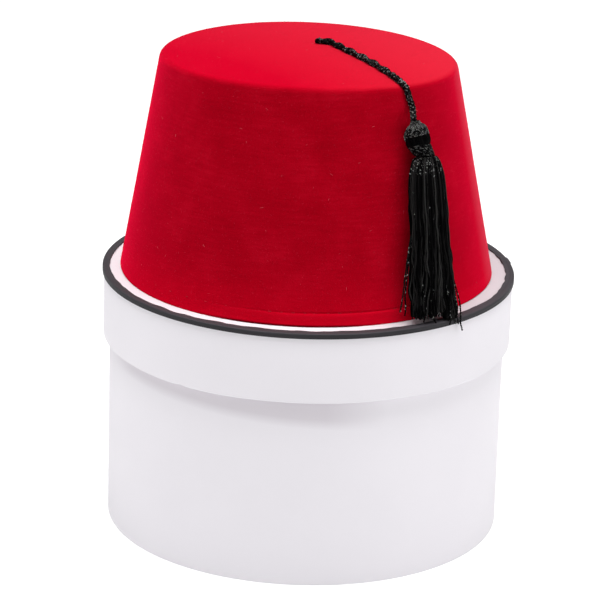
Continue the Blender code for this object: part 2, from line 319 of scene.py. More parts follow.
def turned(name, points, cover, sides, uneven=0.0, bumps=10.0, middle=(0.0, 0.0)):
    """A closed skin turned from (radius, height) points, with its faces outwards and edges sharp."""
    start = bpy.data.meshes.new(name)
    start.from_pydata([(radius, 0.0, height) for radius, height in points], [], [])
    values = {"Sides": sides, "Unevenness": uneven, "Bumps per Metre": bumps, "Material": cover}
    made = grown(name, start, turned_outline, values)
    bm = bmesh.new()
    bm.from_mesh(made.data)
    bmesh.ops.dissolve_degenerate(bm, edges=bm.edges, dist=1e-7)
    bmesh.ops.recalc_face_normals(bm, faces=bm.faces)
    bmesh.ops.translate(bm, verts=bm.verts, vec=(*middle, 0.0))
    bm.to_mesh(made.data)
    bm.free()
    made.data.set_sharp_from_angle(angle=SHARP_EDGE)
    return made


def object_spot(tree):
    """Where a point of the surface lies in the object's own frame."""
    return node(tree, "ShaderNodeTexCoord").outputs["Object"]


def mixed(tree, factor, first, second, **settings):
    """A colour between two, by a share from 0 to 1."""
    inputs = {"Factor": factor, "A": first, "B": second}
    return result(tree, "ShaderNodeMix", inputs, data_type="RGBA", **settings)


def bumped(tree, height, strength, distance):
    """The normals of a surface with fine relief."""
    return result(tree, "ShaderNodeBump", {"Height": height, "Strength": strength, "Distance": distance})


def paper_group():
    """White coated paper on card: a faint cloudiness, a grain, a rubbed low edge and a lapped seam."""
    tree, given, out = new_tree(
        "paper_cover",
        "ShaderNodeTree",
        {"Color": ["White", "Shade"], "Float": ["Cloud Scale", "Grain Scale", "Low Edge", "Seam Bearing"]},
        {"Color": ["Color"], "Float": ["Roughness", "Height"]},
    )
    spot = object_spot(tree)
    at = axes_of(tree, spot)
    cloud = noise_field(tree, spot, given["Cloud Scale"], 3.0)
    grain = noise_field(tree, spot, given["Grain Scale"], 4.0)
    cloudy = share(tree, cloud, *CLOUDS_TO_SHADE)
    above_edge = math_node(tree, "SUBTRACT", at["Z"], given["Low Edge"])
    rubbed = times(tree, share(tree, above_edge, *RUBBED_EDGE), cloud)
    bearing = math_node(tree, "ARCTAN2", at["Y"], at["X"])
    from_seam = math_node(tree, "ABSOLUTE", math_node(tree, "SUBTRACT", bearing, given["Seam Bearing"]))
    seam = share(tree, from_seam, *LAPPED_SEAM)
    shaded = weighted(tree, (cloudy, 1.0), (rubbed, 1.0), (seam, SEAM_SHADE))
    fill(out, {"Color": mixed(tree, shaded, given["White"], given["Shade"])})
    fill(out, {"Roughness": share(tree, cloud, *CLOUDS_TO_ROUGHNESS)})
    fill(out, {"Height": weighted(tree, (grain, 1.0), (cloud, 2.0), (seam, -SEAM_SUNK))})
    return tree


def paper_material(name, cloud_scale, grain_scale, low_edge, seam_bearing):
    """A piece's own paper cover, its tree and shader, and its white, which the piece links itself."""
    made, tree, shader = material(name)
    values = {"White": CARD_WHITE, "Shade": CARD_SHADE, "Cloud Scale": cloud_scale}
    values |= {"Grain Scale": grain_scale, "Low Edge": low_edge, "Seam Bearing": seam_bearing}
    cover = node(tree, "ShaderNodeGroup", values, node_tree=paper_cover).outputs
    relief = bumped(tree, cover["Height"], strength=0.25, distance=0.00012)
    fill(shader, {"Roughness": cover["Roughness"], "Normal": relief, "Specular IOR Level": 0.35})
    return made, tree, shader, cover["Color"]


turned_outline = turned_tree()
paper_cover = paper_group()
box_paper, box_tree, box_shader, box_white = paper_material(
    "box_card", BOX_CLOUDS, BOX_GRAIN, 0.0, BOX_SEAM_BEARING
)
# A painted shadow: the paper is made greyer in a band under the lid, on the front's left,
# which the overhanging rim keeps dim.
box_at = axes_of(box_tree, object_spot(box_tree))
box_slant = math_node(box_tree, "MULTIPLY_ADD", box_at["X"], RIM_SHADOW_SLANT, box_at["Z"])
box_rim_shadow = times(
    box_tree,
    share(box_tree, box_slant, *RIM_SHADOW_UP),
    share(box_tree, box_at["X"], *RIM_SHADOW_LEFT),
    share(box_tree, box_at["Y"], *RIM_SHADOW_FRONT),
)
fill(box_shader, {"Base Color": mixed(box_tree, box_rim_shadow, box_white, CARD_RIM_SHADOW)})

box_rim = LID_TOP - LID_CARD - TOUCH_GAP
box_inner = BOX_RADIUS - BOX_CARD
box_outline = softened(
    [
        (0.0, 0.0, 0),
        (BOX_RADIUS, 0.0, BOX_EDGE_ROUND),
        (BOX_RADIUS, box_rim, BOX_RIM_ROUND),
        (box_inner, box_rim, BOX_RIM_ROUND),
        (box_inner, BOX_CARD, BOX_EDGE_ROUND),
        (0.0, BOX_CARD, 0),
    ]
)
box_body = turned("hat_box_body", box_outline, box_paper, BOX_SIDES, BOX_UNEVEN, BOX_BUMPS)
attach(box_body, "root")
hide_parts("box_body")


# ------------------------------------------------------------------------------------------------
# The lid: a card disc with a deep rim that slides down outside the box. It is covered in the same
# white paper, which turns under the rim's lower edge.

LID_RADIUS = 0.1037
LID_RIM_BOTTOM = 0.0967
LID_TOP_ROUND = 0.0006
LID_RIM_ROUND = 0.42 * LID_CARD
LID_CLOUDS = 19.0
LID_GRAIN = 1450.0
LID_SEAM_BEARING = 1.42
# The top's paper in painted shade, tinted pink as if lit by red light bounced off the felt.
LID_PAINTED_SHADE = (0.50, 0.465, 0.490, 1.0)
# Where the painted shade comes in: how far the surface faces up, and metres to the right, from its least
# on.
PAINTED_SHADE_UP = (0.90, 0.99)
PAINTED_SHADE_RIGHT = (0.020, 0.078)
PAINTED_SHADE_LEAST = 0.22
RIM_LOW = 0.003
RIM_WANDER = 0.0003
RIM_WAVES = 30.0
NICK_BEARING = -126.0
NICK_WIDTH = 1.3
NICK_DEPTH = 0.0006


def normal_axes(tree):
    """How far the surface faces to the right, to the back and up."""
    return axes_of(tree, node(tree, "ShaderNodeNewGeometry").outputs["Normal"])


def wander(place, waves, pattern):
    """A smooth random number round the box, with so many waves a metre. Each pattern is another one."""
    return noise.noise(Vector((place.x * waves, place.y * waves, pattern)))


lid_inner = LID_RADIUS - LID_CARD
lid_outline = softened(
    [
        (0.0, LID_TOP, 0),
        (LID_RADIUS, LID_TOP, LID_TOP_ROUND),
        (LID_RADIUS, LID_RIM_BOTTOM, LID_RIM_ROUND),
        (lid_inner, LID_RIM_BOTTOM, LID_RIM_ROUND),
        (lid_inner, LID_TOP - LID_CARD, LID_TOP_ROUND),
        (0.0, LID_TOP - LID_CARD, 0),
    ]
)
lid_paper, lid_tree, lid_shader, lid_white = paper_material(
    "lid_card", LID_CLOUDS, LID_GRAIN, LID_RIM_BOTTOM, LID_SEAM_BEARING
)
# Painted shade and red bounce light from the felt on the top's white paper, most on the right.
lid_at = axes_of(lid_tree, object_spot(lid_tree))
lid_shade_up = share(lid_tree, normal_axes(lid_tree)["Z"], *PAINTED_SHADE_UP)
lid_shade_right = share(lid_tree, lid_at["X"], *PAINTED_SHADE_RIGHT, PAINTED_SHADE_LEAST, 1.0)
lid_shaded_colour = mixed(lid_tree, times(lid_tree, lid_shade_up, lid_shade_right), lid_white, LID_PAINTED_SHADE)
fill(lid_shader, {"Base Color": lid_shaded_colour})

box_lid = turned("hat_box_lid", lid_outline, lid_paper, BOX_SIDES)
for vertex in box_lid.data.vertices:
    if vertex.co.z < LID_RIM_BOTTOM + RIM_LOW:
        bearing = math.degrees(math.atan2(vertex.co.y, vertex.co.x))
        nick = NICK_DEPTH * math.exp(-(((bearing - NICK_BEARING) / NICK_WIDTH) ** 2))
        vertex.co.z += RIM_WANDER * wander(vertex.co, RIM_WAVES, 5.0) + nick
box_lid.data.update()
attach(box_lid, "root")
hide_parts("box_lid")


# ------------------------------------------------------------------------------------------------
# The trim: one length of dark charcoal book cloth tape, folded over the lid's top edge and glued
# down. Its inner edge wanders a little, and its two ends overlap at the viewer's right.

TAPE_THICKNESS = 0.0005
TAPE_ON_TOP = 0.0037
TAPE_DOWN_SIDE = 0.0018
TAPE_SIDES = 300
TAPE_FOLD_STEPS = 8
TAPE_SLOW_WANDER = 0.00099
TAPE_SLOW_WAVES = 22.0
TAPE_QUICK_WANDER = 0.00090
TAPE_QUICK_WAVES = 150.0
TAPE_LEFT_NARROWER = 0.0009
TAPE_OVERLAP = 0.0003
TAPE_SEAM_BEARING = 8.0
TAPE_OVERLAP_ARC = 5.0
TAPE_OVERLAP_RISE = 0.25
TAPE_DARK = (0.024, 0.023, 0.026, 1.0)
TAPE_PALE = (0.047, 0.043, 0.050, 1.0)
TAPE_STREAK_WAVES = 1400.0
TAPE_STREAKS_ROUND = 3.0
TAPE_WEAVE_WAVES = 900.0
# How facing up, for painted light on the top, and the streaks turn into a share of the pale colour:
# from one range to the other.
TAPE_UP_TO_PAINTED_LIGHT = (0.15, 0.75, 0.0, 0.62)
TAPE_STREAKS_TO_PALE = (0.30, 0.70, -0.25, 0.40)


def combined(tree, x=0.0, y=0.0, z=0.0):
    """A vector from its X, Y and Z."""
    return result(tree, "ShaderNodeCombineXYZ", {"X": x, "Y": y, "Z": z})


def held(value):
    """A number held between 0 and 1."""
    return min(max(value, 0.0), 1.0)


tape_fold = TOUCH_GAP + TAPE_THICKNESS
tape_low = LID_TOP - TAPE_DOWN_SIDE
tape_inner = LID_RADIUS - TAPE_ON_TOP
tape_outline = [(tape_inner, LID_TOP + TOUCH_GAP), (tape_inner, LID_TOP + tape_fold)]
for step in range(TAPE_FOLD_STEPS + 1):
    fold_turn = math.pi / 2 * (1 - step / TAPE_FOLD_STEPS)
    fold_out, fold_up = tape_fold * math.cos(fold_turn), tape_fold * math.sin(fold_turn)
    tape_outline.append((LID_RADIUS + fold_out, LID_TOP + fold_up))
tape_outline += [
    (LID_RADIUS + tape_fold, tape_low),
    (LID_RADIUS + TOUCH_GAP, tape_low),
    (LID_RADIUS + TOUCH_GAP, LID_TOP + TOUCH_GAP),
    (tape_inner, LID_TOP + TOUCH_GAP),
]

# The cloth is streaked along the tape, and made paler where it faces up: painted light on its top.
tape_cloth, tape_tree, tape_shader = material("dark_tape")
tape_spot = object_spot(tape_tree)
tape_at = axes_of(tape_tree, tape_spot)
tape_weave = noise_field(tape_tree, tape_spot, TAPE_WEAVE_WAVES, 3.0)
tape_radius = vector_math(tape_tree, "LENGTH", combined(tape_tree, tape_at["X"], tape_at["Y"]))
tape_drawn = combined(
    tape_tree,
    times(tape_tree, math_node(tape_tree, "ARCTAN2", tape_at["Y"], tape_at["X"]), TAPE_STREAKS_ROUND),
    times(tape_tree, tape_radius, TAPE_STREAK_WAVES),
    times(tape_tree, tape_at["Z"], TAPE_STREAK_WAVES),
)
tape_streak = noise_field(tape_tree, tape_drawn, 1.0, 3.0)
tape_painted_light = share(tape_tree, normal_axes(tape_tree)["Z"], *TAPE_UP_TO_PAINTED_LIGHT)
tape_uneven = share(tape_tree, tape_streak, *TAPE_STREAKS_TO_PALE)
tape_share = math_node(tape_tree, "ADD", tape_painted_light, tape_uneven)
tape_relief = weighted(tape_tree, (tape_weave, 1.0), (tape_streak, 2.0))
fill(tape_shader, {"Base Color": mixed(tape_tree, tape_share, TAPE_DARK, TAPE_PALE)})
fill(tape_shader, {"Normal": bumped(tape_tree, tape_relief, strength=0.6, distance=0.00012)})
fill(tape_shader, {"Roughness": 0.58, "Specular IOR Level": 0.18})

lid_trim = turned("lid_tape", tape_outline, tape_cloth, TAPE_SIDES)
tape_skin = TOUCH_GAP + TAPE_THICKNESS / 5
for vertex in lid_trim.data.vertices:
    spot = vertex.co.xy
    bearing = math.degrees(math.atan2(spot.y, spot.x))
    inward = held((LID_RADIUS - spot.length) / TAPE_ON_TOP)
    leftward = max(-spot.x / LID_RADIUS, 0.0) ** 2
    slow = TAPE_SLOW_WANDER * wander(spot, TAPE_SLOW_WAVES, 3.0)
    quick = TAPE_QUICK_WANDER * wander(spot, TAPE_QUICK_WAVES, 8.0) * (1.0 - leftward**3)
    shift = inward * (slow + quick + TAPE_LEFT_NARROWER * leftward)
    overlap = held((bearing - TAPE_SEAM_BEARING) / TAPE_OVERLAP_RISE)
    overlap *= TAPE_OVERLAP * held(TAPE_SEAM_BEARING + TAPE_OVERLAP_ARC - bearing)
    if vertex.co.z > LID_TOP + tape_skin or spot.length > LID_RADIUS + tape_fold - TAPE_THICKNESS / 5:
        shift += overlap
        vertex.co.z += overlap if vertex.co.z > LID_TOP else 0.0
    vertex.co.xy = spot + spot.normalized() * shift
lid_trim.data.update()
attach(lid_trim, "root")
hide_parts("lid_trim")


# ------------------------------------------------------------------------------------------------
# The crown: one piece of wool felt, blocked while wet over a wooden form. The tip is a shallow dome
# with a soft edge, the sides widen to the base, and the base edge is turned under in a low hem.

HAT_MIDDLE = Vector((-0.0018, 0.0018))
HAT_BASE = LID_TOP + TOUCH_GAP
FELT = 0.0026
BASE_RADIUS = 0.0944
TIP_RADIUS = 0.0740
SIDE_HEIGHT = 0.1092
DOME_HEIGHT = 0.0068
EDGE_ROUND = 0.0038
BASE_ROUND = 0.0004
BASE_SINK = 0.00028
CROWN_SIDES = 288
CROWN_UNEVEN = 0.00035
CROWN_BUMPS = 18.0
STITCH_HEIGHT = 0.0063
GROOVE_DEPTH = 0.00042
GROOVE_HALF = 0.0005
GROOVE_BAND = 0.002
# Rows of points over the dome, the tip's edge, the side, the groove of the seam, and the hem.
OUTLINE_ROWS = (36, 10, 100, 16, 6)
HEM_PROUD = 0.00035
HEM_RISE = 0.0012
HEM_BEARING = -80.0
HEM_SPREAD = 24.0
# How the worn hat stands: its tip's rise in the middle, to the right, to the back and as a saddle, and
# its lean to the right at the base and up to the tip.
TIP_RISE = 0.0009
TIP_SIDE_TILT = -0.00105
TIP_BACK_TILT = -0.00215
TIP_SADDLE = 0.00075
BASE_LEAN = 0.0006
TIP_LEAN = -0.0018
FELT_RED = (0.315, 0.0004, 0.0070, 1.0)
FELT_DEEP = (0.242, 0.0002, 0.0045, 1.0)
FELT_LIGHT = (0.410, 0.0026, 0.0135, 1.0)
# Painted light and sheen on the tip, which faces the light above.
FELT_TIP_LIT = (0.430, 0.0006, 0.0120, 1.0)
FELT_TIP_SHEEN = (0.510, 0.0190, 0.0330, 1.0)
# A painted sheen at the right silhouette.
FELT_RIM_SHEEN = (0.190, 0.0680, 0.0800, 1.0)
FELT_LOW = (0.620, 0.0004, 0.0135, 1.0)
# A painted shadow along the base edge.
FELT_CONTACT_SHADOW = (0.060, 0.0004, 0.0020, 1.0)
FELT_SHEEN = (1.0, 0.008, 0.060, 1.0)
FELT_MOTTLES = 55.0
FELT_STROKES = 90.0
FELT_FIBRES = 1100.0
STROKE_STRETCH = (1.0, 1.0, 9.0)
# The parts of the mottling, the strokes, the fibres and the painted light below the seam in the felt's
# blend, and the ranges of the blend over which the deep red turns into the plain one and that into the
# light one.
FELT_BLEND = (0.45, 0.30, 0.25, 0.20)
DEEP_TO_RED = (0.27, 0.50)
RED_TO_LIGHT = (0.50, 0.73)
# Where each painted light or shade on the red comes in: metres to a side, metres above the base or below
# the hem's top, how far the surface faces a way, or how far it is seen along itself.
HEM_PAINTED_LIGHT_DOWN = (-0.0002, 0.0005)
HEM_PAINTED_LIGHT_RIGHT = (-0.062, 0.0)
TIP_LIT_UP = (0.55, 0.97)
TIP_LIT_MOST = 0.7
TIP_SHEEN_BACK_RIGHT = (-0.055, 0.065)
LOW_HEIGHT = (0.045, -0.004)
LOW_POWER = 3.2
RIM_SHEEN_ALONG = (0.70, 0.97)
RIM_SHEEN_RIGHT = (0.35, 0.90)
CONTACT_SHADOW_HEIGHT = (0.0011, 0.0004)
CONTACT_SHADOW_FROM_LEFT = (-0.056, -0.034)
CONTACT_SHADOW_FROM_RIGHT = (0.036, 0.018)
CONTACT_SHADOW_MOST = 0.9

SIDE_LEAN = math.atan2(BASE_RADIUS - TIP_RADIUS, SIDE_HEIGHT)
DOME_RADIUS = (TIP_RADIUS**2 + DOME_HEIGHT**2) / (2 * DOME_HEIGHT)
DOME_MIDDLE = Vector((0.0, HAT_BASE + SIDE_HEIGHT + DOME_HEIGHT - DOME_RADIUS))


def edge_middle():
    """Middle of the tip's rounded edge, which touches both the dome and the side."""
    up_side = Vector((-math.sin(SIDE_LEAN), math.cos(SIDE_LEAN)))
    out_of_side = Vector((math.cos(SIDE_LEAN), math.sin(SIDE_LEAN)))
    start = Vector((TIP_RADIUS, HAT_BASE + SIDE_HEIGHT)) - out_of_side * EDGE_ROUND
    from_dome = start - DOME_MIDDLE
    along = from_dome.dot(up_side)
    room_left = (DOME_RADIUS - EDGE_ROUND) ** 2 - from_dome.length_squared
    return start + up_side * (math.sqrt(along**2 + room_left) - along)


EDGE_MIDDLE = edge_middle()
DOME_ANGLE = math.atan2(EDGE_MIDDLE.x - DOME_MIDDLE.x, EDGE_MIDDLE.y - DOME_MIDDLE.y)
DOME_RUN = DOME_RADIUS * DOME_ANGLE
EDGE_RUN = EDGE_ROUND * (math.pi / 2 - SIDE_LEAN - DOME_ANGLE)
SIDE_RUN = (EDGE_MIDDLE.y + EDGE_ROUND * math.sin(SIDE_LEAN) - HAT_BASE) / math.cos(SIDE_LEAN)
WHOLE_RUN = DOME_RUN + EDGE_RUN + SIDE_RUN
STITCH_RUN = WHOLE_RUN - STITCH_HEIGHT / math.cos(SIDE_LEAN)


def on_felt(run, lift=0.0):
    """(radius, height) of the point run along the felt from the tip's middle, lifted off the felt."""
    if run <= DOME_RUN:
        angle = run / DOME_RADIUS
        foot = DOME_MIDDLE + DOME_RADIUS * Vector((math.sin(angle), math.cos(angle)))
    else:
        angle = min(DOME_ANGLE + (run - DOME_RUN) / EDGE_ROUND, math.pi / 2 - SIDE_LEAN)
        foot = EDGE_MIDDLE + EDGE_ROUND * Vector((math.sin(angle), math.cos(angle)))
        down_side = Vector((math.sin(SIDE_LEAN), -math.cos(SIDE_LEAN)))
        foot += down_side * max(0.0, run - DOME_RUN - EDGE_RUN)
    return foot + lift * Vector((math.sin(angle), math.cos(angle)))


def crown_outline():
    """Outside from the tip's middle down, round the base edge, and back up the inside."""
    groove_top = STITCH_RUN - GROOVE_BAND / 2
    ends = [0.0, DOME_RUN, DOME_RUN + EDGE_RUN, groove_top, groove_top + GROOVE_BAND]
    ends.append(WHOLE_RUN - BASE_ROUND)
    runs = []
    for start, end, rows in zip(ends, ends[1:], OUTLINE_ROWS):
        runs += [start + (end - start) * row / rows for row in range(rows)]
    runs.append(ends[-1])
    outside = [on_felt(run) for run in runs]
    inside = [on_felt(run, -FELT) for run in runs]
    edges = [on_felt(WHOLE_RUN, -BASE_ROUND), on_felt(WHOLE_RUN, BASE_ROUND - FELT)]
    base = [Vector((edge.x, HAT_BASE - BASE_SINK)) for edge in edges]
    return outside + base + inside[::3][::-1]


def settled(place):
    """Where a point of the evenly blocked hat stands on the real one, which is a little out of level."""
    up = held((place.z - HAT_BASE) / (SIDE_HEIGHT + DOME_HEIGHT))
    across, back = (place.xy - HAT_MIDDLE) / TIP_RADIUS
    tilt = TIP_SIDE_TILT * across + TIP_BACK_TILT * back + TIP_SADDLE * (back**2 - across**2)
    return place + Vector((BASE_LEAN + TIP_LEAN * up, 0.0, (TIP_RISE + tilt) * up**1.5))


def hemmed(place):
    """A point of the felt's outside with the seam's groove and the hem below it, where they show."""
    out = place.xy - HAT_MIDDLE
    over_seam = place.z - HAT_BASE - STITCH_HEIGHT
    side_radius = BASE_RADIUS - (place.z - HAT_BASE) * math.tan(SIDE_LEAN)
    if over_seam > GROOVE_BAND or out.length < side_radius - FELT / 2:
        return place
    bearing = math.degrees(math.atan2(out.y, out.x))
    shows = math.exp(-(((bearing - HEM_BEARING) / HEM_SPREAD) ** 2))
    dip = GROOVE_DEPTH * math.exp(-((over_seam / GROOVE_HALF) ** 2))
    push = out.normalized() * shows * (HEM_PROUD * held(-over_seam / HEM_RISE) - dip)
    return place + Vector((push.x, push.y, 0.0))


def felt_group():
    """Wool felt: soft mottling, faint strokes of the brush round the side, and short matted fibres."""
    tree, given, out = new_tree(
        "felt_surface",
        "ShaderNodeTree",
        {"Color": ["Red", "Deep", "Light"], "Float": ["Mottle Scale", "Fibre Scale", "Hem Top"]},
        {"Color": ["Color"], "Float": ["Height"]},
    )
    spot = object_spot(tree)
    at = axes_of(tree, spot)
    drawn = result(tree, "ShaderNodeMapping", {"Vector": spot, "Scale": STROKE_STRETCH})
    mottle = noise_field(tree, spot, given["Mottle Scale"], 4.0)
    stroke = noise_field(tree, drawn, FELT_STROKES, 5.0)
    fibre = noise_field(tree, spot, given["Fibre Scale"], 4.0, distortion=1.2)
    # Painted light: below the seam, on the right, the felt is made lighter, as the white lid lights it.
    below_hem = share(tree, math_node(tree, "SUBTRACT", given["Hem Top"], at["Z"]), *HEM_PAINTED_LIGHT_DOWN)
    hem = times(tree, below_hem, share(tree, at["X"], *HEM_PAINTED_LIGHT_RIGHT))
    blend = weighted(tree, *zip((mottle, stroke, fibre, hem), FELT_BLEND))
    red = mixed(tree, share(tree, blend, *DEEP_TO_RED), given["Deep"], given["Red"])
    fill(out, {"Color": mixed(tree, share(tree, blend, *RED_TO_LIGHT), red, given["Light"])})
    fill(out, {"Height": weighted(tree, (fibre, 1.0), (stroke, 0.5))})
    return tree


red_felt, felt_tree, felt_shader = material("red_felt")
felt_values = {"Red": FELT_RED, "Deep": FELT_DEEP, "Light": FELT_LIGHT, "Hem Top": HAT_BASE + STITCH_HEIGHT}
felt_values |= {"Mottle Scale": FELT_MOTTLES, "Fibre Scale": FELT_FIBRES}
felt_cover = node(felt_tree, "ShaderNodeGroup", felt_values, node_tree=felt_group()).outputs
felt_at = axes_of(felt_tree, object_spot(felt_tree))
felt_facing = normal_axes(felt_tree)
felt_along = node(felt_tree, "ShaderNodeLayerWeight", {"Blend": 0.5}).outputs["Facing"]
above_base = math_node(felt_tree, "SUBTRACT", felt_at["Z"], HAT_BASE)
back_right = weighted(felt_tree, (felt_at["X"], 0.75), (felt_at["Y"], 0.66))
faces_up = share(felt_tree, felt_facing["Z"], *TIP_LIT_UP)
low_side = share(felt_tree, above_base, *LOW_HEIGHT)
felt_colour = felt_cover["Color"]
for colour, *shares in (
    # Painted light: the tip is made paler where it faces up, with a painted sheen paler still towards the
    # back right.
    (FELT_TIP_LIT, faces_up, TIP_LIT_MOST),
    (FELT_TIP_SHEEN, share(felt_tree, back_right, *TIP_SHEEN_BACK_RIGHT), faces_up),
    # Low on the side, where the white lid lights it from below, the felt looks a little lighter.
    (FELT_LOW, math_node(felt_tree, "POWER", low_side, LOW_POWER)),
    # Painted sheen: seen along the surface on the right, the felt is made paler, where the loose tips of
    # the nap show as pale fuzz in the light.
    (
        FELT_RIM_SHEEN,
        share(felt_tree, felt_along, *RIM_SHEEN_ALONG),
        share(felt_tree, felt_facing["X"], *RIM_SHEEN_RIGHT),
    ),
    # Painted shadow: the base edge is made dark where it turns under onto the lid, from the left of the
    # front to the tassel.
    (
        FELT_CONTACT_SHADOW,
        share(felt_tree, above_base, *CONTACT_SHADOW_HEIGHT),
        share(felt_tree, felt_at["X"], *CONTACT_SHADOW_FROM_LEFT),
        share(felt_tree, felt_at["X"], *CONTACT_SHADOW_FROM_RIGHT),
        CONTACT_SHADOW_MOST,
    ),
):
    felt_colour = mixed(felt_tree, times(felt_tree, *shares), felt_colour, colour)
fill(felt_shader, {"Base Color": felt_colour, "Roughness": 0.95, "Specular IOR Level": 0.0})
fill(felt_shader, {"Normal": bumped(felt_tree, felt_cover["Height"], strength=0.5, distance=0.00022)})
fill(felt_shader, {"Sheen Weight": 0.75, "Sheen Roughness": 0.45, "Sheen Tint": FELT_SHEEN})

crown = turned(
    "felt_crown", crown_outline(), red_felt, CROWN_SIDES, CROWN_UNEVEN, CROWN_BUMPS, middle=HAT_MIDDLE
)
for vertex in crown.data.vertices:
    vertex.co = settled(hemmed(vertex.co.copy()))
crown.data.update()
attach(crown, "root")
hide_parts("crown")


# ------------------------------------------------------------------------------------------------
# The base seam: a ring of short hand stitches in red thread, a little above the base edge. Each one
# is pulled into the felt by its own amount, and many nearly vanish in it.

STITCHES = 104
STITCH_LENGTH = 0.0019
STITCH_ARCH = 0.00045
STITCH_THREAD = 0.00017
STITCH_LIFT = 0.00002
STITCH_POINTS = 5
STITCH_SIDES = 5
# The least and the most of the ring's radius that a stitch stands at.
STITCH_SUNK = (0.9942, 1.0008)
STITCH_SEED = 9
STITCH_TWISTS = 3200.0
STITCH_DEEP = (0.34, 0.003, 0.010, 1.0)
STITCH_LIGHT = (0.46, 0.018, 0.034, 1.0)


def resampled(tree, line, mode, value):
    """A line with even steps: a COUNT of points, or points a LENGTH from one another."""
    return result(tree, "GeometryNodeResampleCurve", {"Curve": line, mode.title(): value}, mode=mode)


def tube(tree, line, ring):
    """A thread along a line, with a ring for its outline and its ends closed."""
    inputs = {"Curve": line, "Profile Curve": ring, "Fill Caps": True}
    return result(tree, "GeometryNodeCurveToMesh", inputs)


def ring_of(tree, radius, sides):
    """A thread's outline."""
    return result(tree, "GeometryNodeCurvePrimitiveCircle", {"Resolution": sides, "Radius": radius})


def chance(tree, low, high, seed, **inputs):
    """A random number between two, another one for each point, or for each ID if that is given."""
    inputs = {"Min": low, "Max": high, "Seed": seed, **inputs}
    return result(tree, "FunctionNodeRandomValue", inputs, data_type="FLOAT")


def stitch_tree():
    """A ring of short arched stitches, each pulled into the felt by its own amount."""
    inputs = {"Int": ["Stitches", "Seed"], "Float": ["Ring Radius", "Length", "Thread Radius"]}
    tree, given, out = shape_tree("stitch_ring", "Start", inputs)
    half = times(tree, given["Length"], 0.5)
    ends = {"Start": combined(tree, y=times(tree, half, -1.0)), "End": combined(tree, y=half)}
    line = resampled(tree, result(tree, "GeometryNodeCurvePrimitiveLine", ends), "COUNT", STITCH_POINTS)
    factor = node(tree, "GeometryNodeSplineParameter").outputs["Factor"]
    dip = math_node(tree, "POWER", math_node(tree, "MULTIPLY_ADD", factor, 2.0, -1.0), 2.0)
    arched = moved(tree, line, Offset=combined(tree, times(tree, dip, -STITCH_ARCH)))
    stitch = tube(tree, arched, ring_of(tree, given["Thread Radius"], STITCH_SIDES))
    ring = {"Vertices": given["Stitches"], "Radius": given["Ring Radius"]}
    places = result(tree, "GeometryNodeMeshCircle", ring)
    place = result(tree, "GeometryNodeInputPosition")
    at = axes_of(tree, place)
    turn = combined(tree, z=math_node(tree, "ARCTAN2", at["Y"], at["X"]))
    sunk = vector_math(tree, "SCALE", place, Scale=chance(tree, *STITCH_SUNK, given["Seed"]))
    sewn = {"Points": moved(tree, places, Position=sunk), "Instance": stitch, "Rotation": turn}
    return finished(tree, result(tree, "GeometryNodeInstanceOnPoints", sewn), given, out)


stitch_thread, thread_tree, thread_shader = material("stitch_thread")
thread_twist = noise_field(thread_tree, object_spot(thread_tree), STITCH_TWISTS, 2.0)
fill(thread_shader, {"Base Color": mixed(thread_tree, thread_twist, STITCH_DEEP, STITCH_LIGHT)})
fill(thread_shader, {"Normal": bumped(thread_tree, thread_twist, strength=0.4, distance=0.00004)})
fill(thread_shader, {"Roughness": 0.7, "Specular IOR Level": 0.1})

stitch_radius, stitch_up = on_felt(STITCH_RUN, STITCH_LIFT)
stitch_values = {"Stitches": STITCHES, "Ring Radius": stitch_radius, "Length": STITCH_LENGTH}
stitch_values |= {"Thread Radius": STITCH_THREAD, "Seed": STITCH_SEED, "Material": stitch_thread}
base_stitches = grown(
    "base_stitches", bpy.data.meshes.new("stitch_start"), stitch_tree(), stitch_values
)
base_stitches.data.transform(Matrix.Translation((*HAT_MIDDLE, stitch_up)))
for vertex in base_stitches.data.vertices:
    vertex.co = settled(vertex.co.copy())
base_stitches.data.update()
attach(base_stitches, "root")


# ------------------------------------------------------------------------------------------------
# The nap: short wool fibres that stand off the outside of the felt and lie over it, and a few longer
# and paler specks of lint among them.

# Fibres to a square metre, their length and thickness, and the least lean from upright, in radians.
NAP_VALUES = {"Density": 260000.0, "Length": 0.00095, "Thickness": 0.000050, "Least Lean": 0.75, "Seed": 31}
LINT_VALUES = {"Density": 1700.0, "Length": 0.0015, "Thickness": 0.000130, "Least Lean": 1.25, "Seed": 47}
MOST_LEAN = 1.50
# A fibre's radius at its tip and at its root, as parts of its thickness.
FIBRE_TAPER = {"Radius Top": 0.15, "Radius Bottom": 0.5}
FIBRE_SIZES = (0.6, 1.2)
FIBRE_TONES = 700.0
FIBRE_RED = (0.42, 0.004, 0.016, 1.0)
FIBRE_PALE = (0.62, 0.050, 0.085, 1.0)
LINT_RED = (0.60, 0.060, 0.090, 1.0)
LINT_PALE = (0.68, 0.170, 0.200, 1.0)


